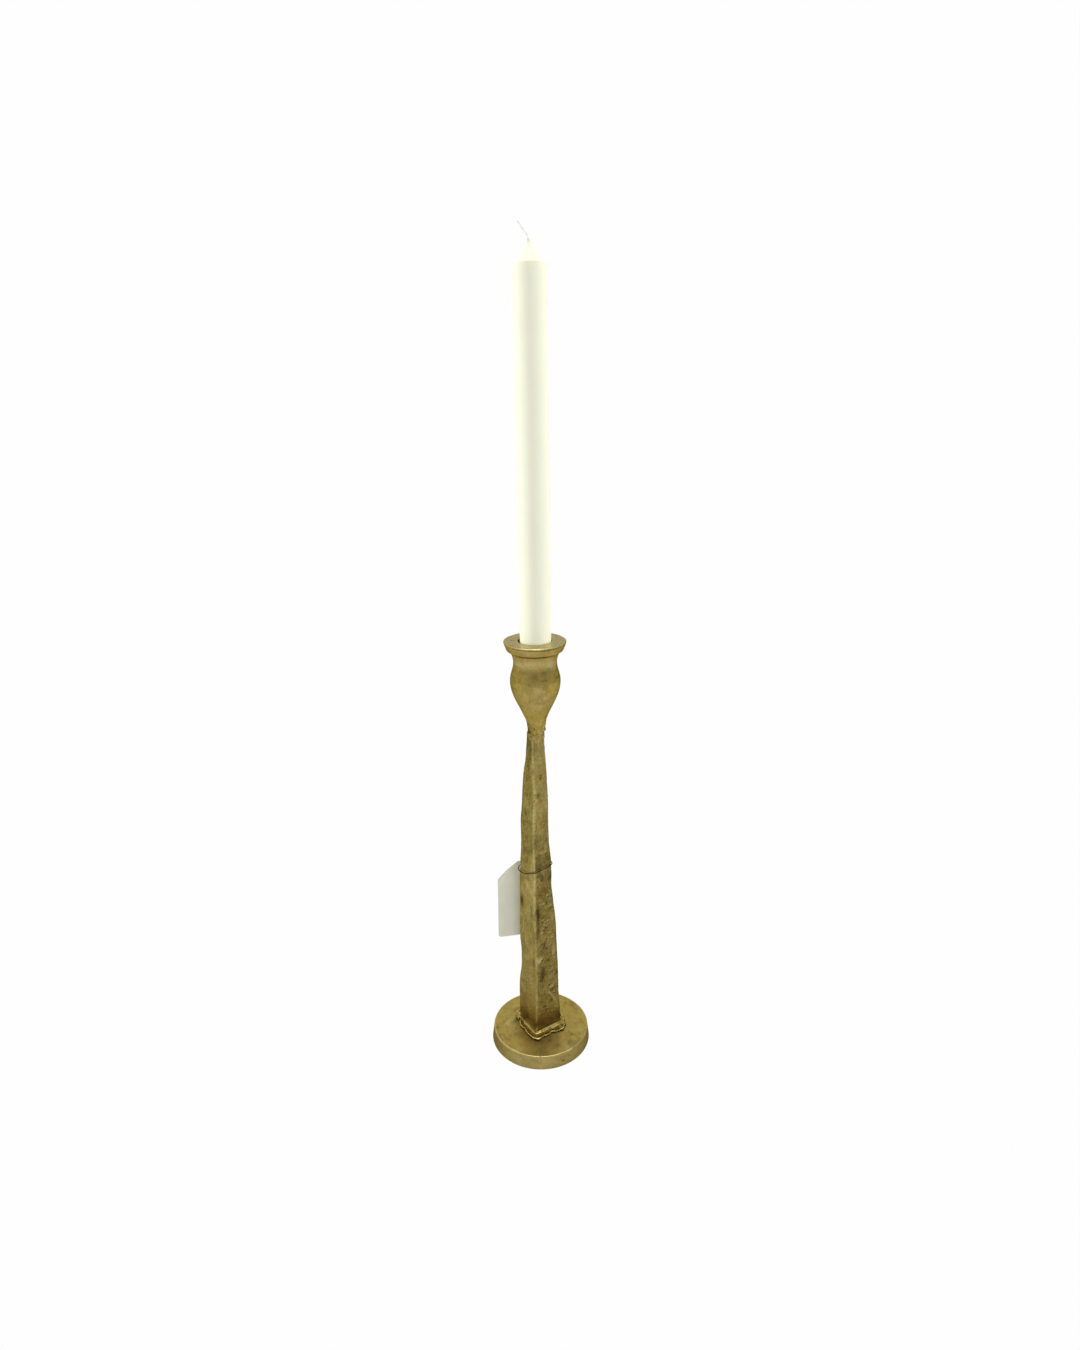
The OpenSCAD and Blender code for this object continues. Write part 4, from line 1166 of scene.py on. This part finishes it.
def braid_tree():
    tree, n, inputs = start_tree("braid", {
        "Strands": "NodeSocketInt", "Strand radius": "NodeSocketFloat", "Braid radius": "NodeSocketFloat",
        "Turns per metre": "NodeSocketFloat", "Step": "NodeSocketFloat", "Seed": "NodeSocketInt"})
    line = n.add("GeometryNodeMeshToCurve", Mesh=inputs["Geometry"]).outputs[0]
    line = n.add("GeometryNodeResampleCurve", Curve=line)
    if "Mode" in line.inputs:
        line.inputs["Mode"].default_value = "Length"
    else:
        line.mode = "LENGTH"
    n.put(line, "Length", inputs["Step"])
    copies = {"Geometry": line.outputs[0], "Amount": inputs["Strands"]}
    copies = n.add("GeometryNodeDuplicateElements", {"domain": "SPLINE"}, **copies)
    kept = n.add("GeometryNodeCaptureAttribute", {"domain": "CURVE"}, Geometry=copies.outputs[0])
    kept.capture_items.new("FLOAT", "which")
    n.put(kept, "which", copies.outputs["Duplicate Index"])
    which = kept.outputs["which"]
    travelled = n.add("GeometryNodeSplineParameter").outputs["Length"]
    other_way = n.math("MULTIPLY_ADD", n.math("MODULO", which, 2.0), -2.0, 1.0)
    spin = n.math("MULTIPLY", n.math("MULTIPLY", travelled, inputs["Turns per metre"]), other_way)
    start = n.math("ADD", which, n.math("MULTIPLY", inputs["Seed"], 0.1))
    angle = n.math("ADD", spin, n.math("DIVIDE", start, inputs["Strands"]))
    angle = n.math("MULTIPLY", angle, 2 * math.pi)
    weave = n.math("MULTIPLY_ADD", n.math("COSINE", n.math("MULTIPLY", angle, 2.0)), 0.12, 1.0)
    radius = n.math("MULTIPLY", inputs["Braid radius"], weave)
    normal = n.add("GeometryNodeInputNormal").outputs[0]
    side = n.add("ShaderNodeVectorMath", {"operation": "CROSS_PRODUCT"})
    n.put(side, 0, n.add("GeometryNodeInputTangent").outputs[0])
    n.put(side, 1, normal)
    shift = n.add("ShaderNodeVectorMath", {"operation": "ADD"})
    n.put(shift, 0, scaled(n, normal, n.math("MULTIPLY", n.math("COSINE", angle), radius)))
    n.put(shift, 1, scaled(n, side.outputs[0], n.math("MULTIPLY", n.math("SINE", angle), radius)))
    moved = n.add("GeometryNodeSetPosition", Geometry=kept.outputs[0], Offset=shift.outputs[0])
    both = n.add("GeometryNodeJoinGeometry")
    inner = n.add("GeometryNodeCurvePrimitiveCircle", Resolution=8, Radius=inputs["Braid radius"])
    ring = n.add("GeometryNodeCurvePrimitiveCircle", Resolution=6, Radius=inputs["Strand radius"])
    for path, around in ((line, inner), (moved, ring)):
        tube = n.add("GeometryNodeCurveToMesh", Curve=path.outputs[0], Profile_Curve=around.outputs[0])
        n.put(tube, "Fill Caps", True)
        tree.links.new(tube.outputs[0], both.inputs[0])
    end_tree(n, both.outputs[0], inputs)
    return tree


braid = braid_tree()
print("braid tree:", len(braid.nodes), "nodes")


# %% Cotton, elastic, card and felt finishes
def fibre_look(name, colours, scale, stretch, rough, bump, sheen=0.0, shine=0.4):
    look, n, shader = new_look(name)
    shift = n.add("ShaderNodeMapping", Vector=n.add("ShaderNodeTexCoord").outputs["Object"])
    n.put(shift, "Scale", stretch)
    threads = n.noise(shift.outputs[0], scale, 4.0, 0.65)
    patches = n.noise(shift.outputs[0], scale * 0.08, 2.0)
    tone = n.math("MULTIPLY_ADD", patches, 0.5, n.math("MULTIPLY", threads, 0.5))
    n.put(shader, "Base Color", n.mix(n.spread(tone, 0.36, 0.64), colours[0], colours[1]))
    n.put(shader, "Roughness", n.spread(threads, 0.3, 0.7, rough - 0.06, rough + 0.06))
    shader.inputs["Sheen Weight"].default_value = sheen
    shader.inputs["Specular IOR Level"].default_value = shine
    height = n.add("ShaderNodeBump", Strength=bump, Distance=0.05 * MM, Height=threads)
    n.put(shader, "Normal", height.outputs[0])
    return look


white_cotton = (0.95, 0.94, 0.86), (0.99, 0.99, 0.95)
brown_black = (0.016, 0.008, 0.005), (0.050, 0.026, 0.016)
pale_card = (0.795, 0.80, 0.655), (0.855, 0.86, 0.72)
dark_green = (0.018, 0.034, 0.022), (0.045, 0.075, 0.050)
cotton = fibre_look("cotton", white_cotton, 2600.0, (1, 1, 0.4), 0.8, 0.25, sheen=0.3)
elastic = fibre_look("elastic", brown_black, 3000.0, (1, 1, 1), 0.8, 0.4, shine=0.12)
card = fibre_look("grey_card", pale_card, 1500.0, (1, 1, 0.7), 0.72, 0.35)
felt = fibre_look("dark_felt", dark_green, 1400.0, (1, 1, 1), 0.9, 0.8, sheen=0.08, shine=0.1)

# %% [markdown]
# ## Wick
# A braided cotton wick runs down the candle and stands out of the tip, bent over to the left. Its
# path is straight inside the wax and then follows a tight bend. Eight strands make the braid, and
# a smooth core stops the light from showing between them.

# %% Wick
bend, bend_from, wick_out, wick_tight = math.radians(36), candle_l + 0.2, 10.6, 1.6
wick_path = [(0, 0, z) for z in np.linspace(0.4, candle_l - 0.3, 60)]
for k in range(1, 9):
    a = bend * k / 8
    wick_path.append((-wick_tight * (1 - math.cos(a)), 0, bend_from + wick_tight * math.sin(a)))
end, wick_aim = np.array(wick_path[-1]), np.array([-math.sin(bend), 0, math.cos(bend)])
wick_path += [tuple(end + wick_aim * wick_out * k / 8) for k in range(1, 9)]


def join_up(points, first=0):
    return [(first + k, first + k + 1) for k in range(len(points) - 1)]


wick = run_tree("braided_wick", braid, stand_candle(wick_path), join_up(wick_path), cotton, Strands=8, Seed=3,
                Strand_radius=0.28 * MM, Braid_radius=0.45 * MM, Turns_per_metre=170.0, Step=0.45 * MM)
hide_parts("candle_wick")
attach(wick, "candle")

# %% [markdown]
# ## Cord, hitch and knot
# The elastic cord runs from the knot round the four corners of the bar and back, and its own
# hitch goes through the card's hole. The route repeats the CAD route in millimetres, joined by a
# smooth curve. The braid tree covers it, with strands fine enough to read as woven elastic.

# %% Cord round the bar
tie_z = 155.0
cord_route = np.array([
    [-14.6, 12.0, -1.1], [-15.8, 10.0, -0.8], [-17.2, 6.8, -0.6], [-17.3, 4.2, -1.1], [-16.2, 2.2, -1.5],
    [-13.7, -0.7, -1.5], [-11.2, -3.6, -0.6], [-7.6, -7.6, 2.1], [-5.0, -9.6, 3.6], [-3.5, -9.1, 3.9],
    [2.0, -4.2, 3.9], [6.7, 0.2, 4.1],
    [8.35, 2.5, 4.6], [8.0, 4.7, 5.2], [4.2, 9.4, 5.6], [0.2, 14.0, 5.2], [-2.6, 16.5, 4.3], [-5.2, 16.3, 3.0],
    [-9.6, 15.0, 0.8], [-13.1, 13.5, -0.8]]) + [0, 0, tie_z]


def smooth_path(route, per):
    """A smooth curve through every point of the route, with this many points for each span."""
    out = []
    for i in range(len(route) - 1):
        a, b, c, d = route[max(i - 1, 0)], route[i], route[i + 1], route[min(i + 2, len(route) - 1)]
        for t in np.arange(per) / per:
            bend_in, bend_out = 2 * a - 5 * b + 4 * c - d, 3 * b - a - 3 * c + d
            out.append(0.5 * (2 * b + t * (c - a) + t * t * bend_in + t**3 * bend_out))
    return np.array(out + [route[-1]])
def braid_cord(name, points, edges, step):
    return run_tree(name, braid, points, edges, elastic, Strands=8, Seed=5, Strand_radius=0.11 * MM,
                    Braid_radius=0.25 * MM, Turns_per_metre=190.0, Step=step * MM)


cord_d = 0.8
cord_points = smooth_path(cord_route, 6)
cord_length = np.linalg.norm(np.diff(cord_points, axis=0), axis=1).sum()
cord = braid_cord("elastic_cord", cord_points, join_up(cord_points), 0.3)
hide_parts("tag_cord")
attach(cord, "tag_loop")
print(f"cord: {cord_length:.1f} mm of {cord_d} mm elastic")

# %% Hitch and knot
tag_turn, tag_top, lip_mid, hitch_r = math.radians(14), np.array([-14.6, 15.3, tie_z]), 1.25, 1.8
cos_turn, sin_turn = math.cos(tag_turn), math.sin(tag_turn)
tag_frame = np.array([[cos_turn, -sin_turn, 0], [sin_turn, cos_turn, 0], [0, 0, 1]])


knot_mid = np.array([0, -2.35, -lip_mid])


def place_tag(points):
    return np.asarray(points) @ tag_frame.T + tag_top


def knot_point(t):
    """One point of a small wound knot, t from 0 to 1."""
    twice, thrice = 4 * math.pi * t, 6 * math.pi * t
    reach = 0.62 * (1.1 - 0.3 * math.cos(thrice))
    return knot_mid + [reach * math.sin(twice), 0.55 * math.cos(thrice), reach * math.cos(twice)]


ring_angles = np.linspace(math.pi, -math.pi, 40)
ring_path = [(0, hitch_r * math.cos(a), -lip_mid + hitch_r * math.sin(a)) for a in ring_angles]
knot_path = [knot_point(t) for t in np.linspace(0, 1, 90)]
hitch_edges = join_up(ring_path) + join_up(knot_path, first=len(ring_path))
hitch = braid_cord("cord_hitch", place_tag(ring_path + knot_path), hitch_edges, 0.25)
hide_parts("tag_hitch")
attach(hitch, "tag_loop")

# %% [markdown]
# ## Swing tag
# A blank pale card with its two top corners cut, a punched hole and softened lower corners. The
# real one is a little bowed and has a light crease across one side. A fine grid clipped to the
# outline lets the card bow: its middle surface is bent first and then given its thickness, so the
# hole and edges stay closed.

# %% Card outline
tag_w, tag_l, tag_t, cut_w, cut_h, hole_drop, hole_r = 40, 68, 0.5, 16, 14, 4.5, 2.0
half, left_round, right_round = tag_w / 2, 2.5, 2.0
corner_turns = np.linspace(0.15, 1.42, 7)
outline = [(-half + cut_w, 0), (-half + 7.2, -6.8), (-half + 0.3, -cut_h), (-half - 0.35, -cut_h - 4)]
outline += [(-half - 0.7, -25), (-half - 0.45, -40), (-half, left_round - tag_l)]
for a in corner_turns:
    outline.append((-half + left_round * (1 - math.cos(a)), left_round * (1 - math.sin(a)) - tag_l))
outline += [(left_round - half, -tag_l), (half - right_round, -tag_l)]
for a in corner_turns:
    outline.append((half - right_round * (1 - math.sin(a)), right_round * (1 - math.cos(a)) - tag_l))
outline += [(half, right_round - tag_l), (half, -cut_h), (half - cut_w, 0)]
print("card outline:", len(outline), "points")


# %% Cut the card
def card_grid(work, step):
    columns, lines = int(tag_w / step), int(tag_l / step)
    across = [-half + i * tag_w / columns for i in range(columns + 1)]
    grid = [[work.verts.new((x, 0, -j * tag_l / lines)) for x in across] for j in range(lines + 1)]
    for j in range(lines):
        for i in range(columns):
            work.faces.new((grid[j][i], grid[j + 1][i], grid[j + 1][i + 1], grid[j][i + 1]))


def hole_gap(face):
    """Distance from a face's middle to the middle of the punched hole."""
    mid = face.calc_center_median()
    return np.hypot(mid.x, mid.z + hole_drop)


def cut_along(work, loop, wanted):
    """Cuts the wanted faces along each straight of a closed loop."""
    for k, start in enumerate(loop):
        a, b = np.array(start), np.array(loop[(k + 1) % len(loop)])
        cut = (b - a) / np.linalg.norm(b - a)
        faces = [face for face in work.faces if wanted(face)]
        nearby = set(v for f in faces for v in f.verts) | set(e for f in faces for e in f.edges) | set(faces)
        bmesh.ops.bisect_plane(work, geom=list(nearby), plane_co=(a[0], 0, a[1]), plane_no=(-cut[1], 0, cut[0]),
                               clear_outer=False, clear_inner=False)


def outside_card(face):
    mid = face.calc_center_median()
    outer = np.array(outline)
    turns = np.cross(np.roll(outer, -1, axis=0) - outer, np.array([mid.x, mid.z]) - outer)
    return (turns < 0).any() and (turns > 0).any() or hole_gap(face) < hole_r * 0.995


work = bmesh.new()
card_grid(work, 1.0)
hole_turns = np.linspace(0, 2 * math.pi, 32, endpoint=False)
punched = [(hole_r * math.cos(a), -hole_drop + hole_r * math.sin(a)) for a in hole_turns]
cut_along(work, outline, lambda face: True)
cut_along(work, punched, lambda face: hole_gap(face) < hole_r + 1.5)
bmesh.ops.delete(work, geom=[face for face in work.faces if outside_card(face)], context="FACES")
card_mesh = bpy.data.meshes.new("swing_tag")
work.to_mesh(card_mesh)
work.free()
tag = bpy.data.objects.new("swing_tag", card_mesh)
bpy.context.scene.collection.objects.link(tag)
flat = np.array([v.co[:] for v in card_mesh.vertices])
print("card:", len(flat), "points")

# %% Bow, crease and thickness
low_share = np.clip(-flat[:, 2] / tag_l, 0, 1)
bow = 0.75 * low_share * (flat[:, 0] / half) ** 2 - 0.4 * low_share * np.sin(low_share * math.pi)
crease_a, crease_b = np.array([-20.0, -24.0]), np.array([-12.0, -10.0])
along = (crease_b - crease_a) / np.linalg.norm(crease_b - crease_a)
off = (flat[:, [0, 2]] - crease_a) @ np.array([-along[1], along[0]])
bow += 0.35 * ease(off, -0.4, 2.5) * ease(-flat[:, 0], 8, 14) * ease(flat[:, 2], -30, -22)
sheet = np.column_stack([flat[:, 0], flat[:, 1] + bow, flat[:, 2]])
card_mesh.vertices.foreach_set("co", (place_tag(sheet) * MM).ravel())
face_outwards(tag)
wall = tag.modifiers.new("wall", "SOLIDIFY")
wall.thickness = tag_t * MM
wall.offset = 0
cut_edge = tag.modifiers.new("edge", "BEVEL")
cut_edge.width = 0.06 * MM
cut_edge.segments = 1
cut_edge.limit_method = "ANGLE"
tag.data.materials.append(card)
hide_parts("hang_tag")
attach(tag, "tag")

# %% [markdown]
# ## Felt pad
# A green felt disc is let into the underside so that the candlestick doesn't scratch a table. A
# third tree lays short curved fibres flat on its lower face. They stay inside the pad's
# thickness, so the foot still stands level.

# %% Fibre tree
def fibre_tree():
    tree, n, inputs = start_tree("fibres", {
        "Fibres per area": "NodeSocketFloat", "Fibre length": "NodeSocketFloat",
        "Fibre radius": "NodeSocketFloat", "Seed": "NodeSocketInt"})
    up = n.add("ShaderNodeSeparateXYZ", Vector=n.add("GeometryNodeInputNormal").outputs[0]).outputs[2]
    lower_face = n.add("FunctionNodeCompare", {"data_type": "FLOAT", "operation": "LESS_THAN"})
    n.put(lower_face, 0, up)
    n.put(lower_face, 1, -0.9)
    spots = {"Mesh": inputs["Geometry"], "Selection": lower_face.outputs[0]}
    spots.update({"Density": inputs["Fibres per area"], "Seed": inputs["Seed"]})
    spots = n.add("GeometryNodeDistributePointsOnFaces", **spots)
    arc = n.add("GeometryNodeCurveArc", Resolution=5)
    n.put(arc, "Radius", inputs["Fibre length"])
    n.put(arc, "Sweep Angle", 1.2)
    ring = n.add("GeometryNodeCurvePrimitiveCircle", Resolution=4, Radius=inputs["Fibre radius"])
    strand = n.add("GeometryNodeCurveToMesh", Curve=arc.outputs[0], Profile_Curve=ring.outputs[0])
    n.put(strand, "Fill Caps", True)
    spin = n.add("FunctionNodeRandomValue", {"data_type": "FLOAT"})
    n.put(spin, 3, 6.283)
    n.put(spin, "Seed", inputs["Seed"])
    turn = n.add("ShaderNodeCombineXYZ", Z=spin.outputs[1])
    laid = {"Points": spots.outputs[0], "Instance": strand.outputs[0], "Rotation": turn.outputs[0]}
    laid = n.add("GeometryNodeInstanceOnPoints", **laid)
    both = n.add("GeometryNodeJoinGeometry")
    tree.links.new(laid.outputs[0], both.inputs[0])
    tree.links.new(inputs["Geometry"], both.inputs[0])
    end_tree(n, both.outputs[0], inputs)
    return tree


fibres = fibre_tree()

# %% Felt pad
pad_line = [(0, 0.05), (34.6, 0.05), (34.95, 0.4), (34.95, 1.45), (0, 1.45)]
pad = turn_on_lathe("felt_disc", refine(pad_line, 1.6), felt, 128, waver=0.15, seed=17)
own = points_of(pad)
own[:, 2] += 0.04 * (own[:, 2] < 0.3) * (1 + grain(own, 1.8, 81))
move_points(pad, own)
maker = pad.modifiers.new("fibres", "NODES")
maker.node_group = fibres
felt_sizes = {"Fibres per area": 1.1e6, "Fibre length": 1.2 * MM, "Fibre radius": 0.03 * MM, "Seed": 23}
felt_sizes["Material"] = felt
for item in fibres.interface.items_tree:
    if item.in_out == "INPUT" and item.name in felt_sizes:
        maker[item.identifier] = felt_sizes[item.name]
furry = bpy.data.meshes.new_from_object(pad.evaluated_get(bpy.context.evaluated_depsgraph_get()))
pad.modifiers.remove(maker)
pad.data = furry
print("felt:", len(furry.polygons), "faces")
own = points_of(pad)
move_points(pad, np.column_stack([own[:, 0], own[:, 1], np.maximum(own[:, 2], 0.0)]))
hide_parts("felt_pad")
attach(pad, "candlestick")


# %% [markdown]
# ## Hidden fixings
# The screw, its washers and the stud never show, but they are real pieces. Their CAD shapes are
# right, so they stay and only get a zinc-plated finish: blue-grey metal with a fine crystalline
# mottle and a dull bloom.

# %% Zinc finish
def zinc_look():
    look, n, shader = new_look("zinc_plate")
    at = n.add("ShaderNodeTexCoord").outputs["Object"]
    crystals = n.add("ShaderNodeTexVoronoi", Vector=at, Scale=900.0).outputs["Color"]
    cloud = n.noise(at, 300.0, 3.0)
    tone = n.math("MULTIPLY_ADD", cloud, 0.6, n.math("MULTIPLY", crystals, 0.4))
    n.put(shader, "Base Color", n.mix(tone, (0.42, 0.45, 0.50), (0.66, 0.68, 0.70)))
    shader.inputs["Metallic"].default_value = 1.0
    n.put(shader, "Roughness", n.spread(cloud, 0.3, 0.7, 0.28, 0.46))
    bump = n.add("ShaderNodeBump", Strength=0.2, Distance=0.03 * MM, Height=cloud)
    n.put(shader, "Normal", bump.outputs[0])
    return look


zinc = zinc_look()
for name in ("base_screw", "flat_washer", "spring_washer", "neck_stud"):
    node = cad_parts[name]
    node.data.materials.clear()
    node.data.materials.append(zinc)

# %% [markdown]
# Both boxes, the CAD pieces' and the finer pieces', are printed for comparison. The finer
# pieces must not outgrow the CAD box.

# %% Finish
visual_box = [list(corner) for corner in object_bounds()]
for label, box in (("cad", cad_box), ("visual", visual_box)):
    print(label, [[round(v / MM, 2) for v in corner] for corner in box])
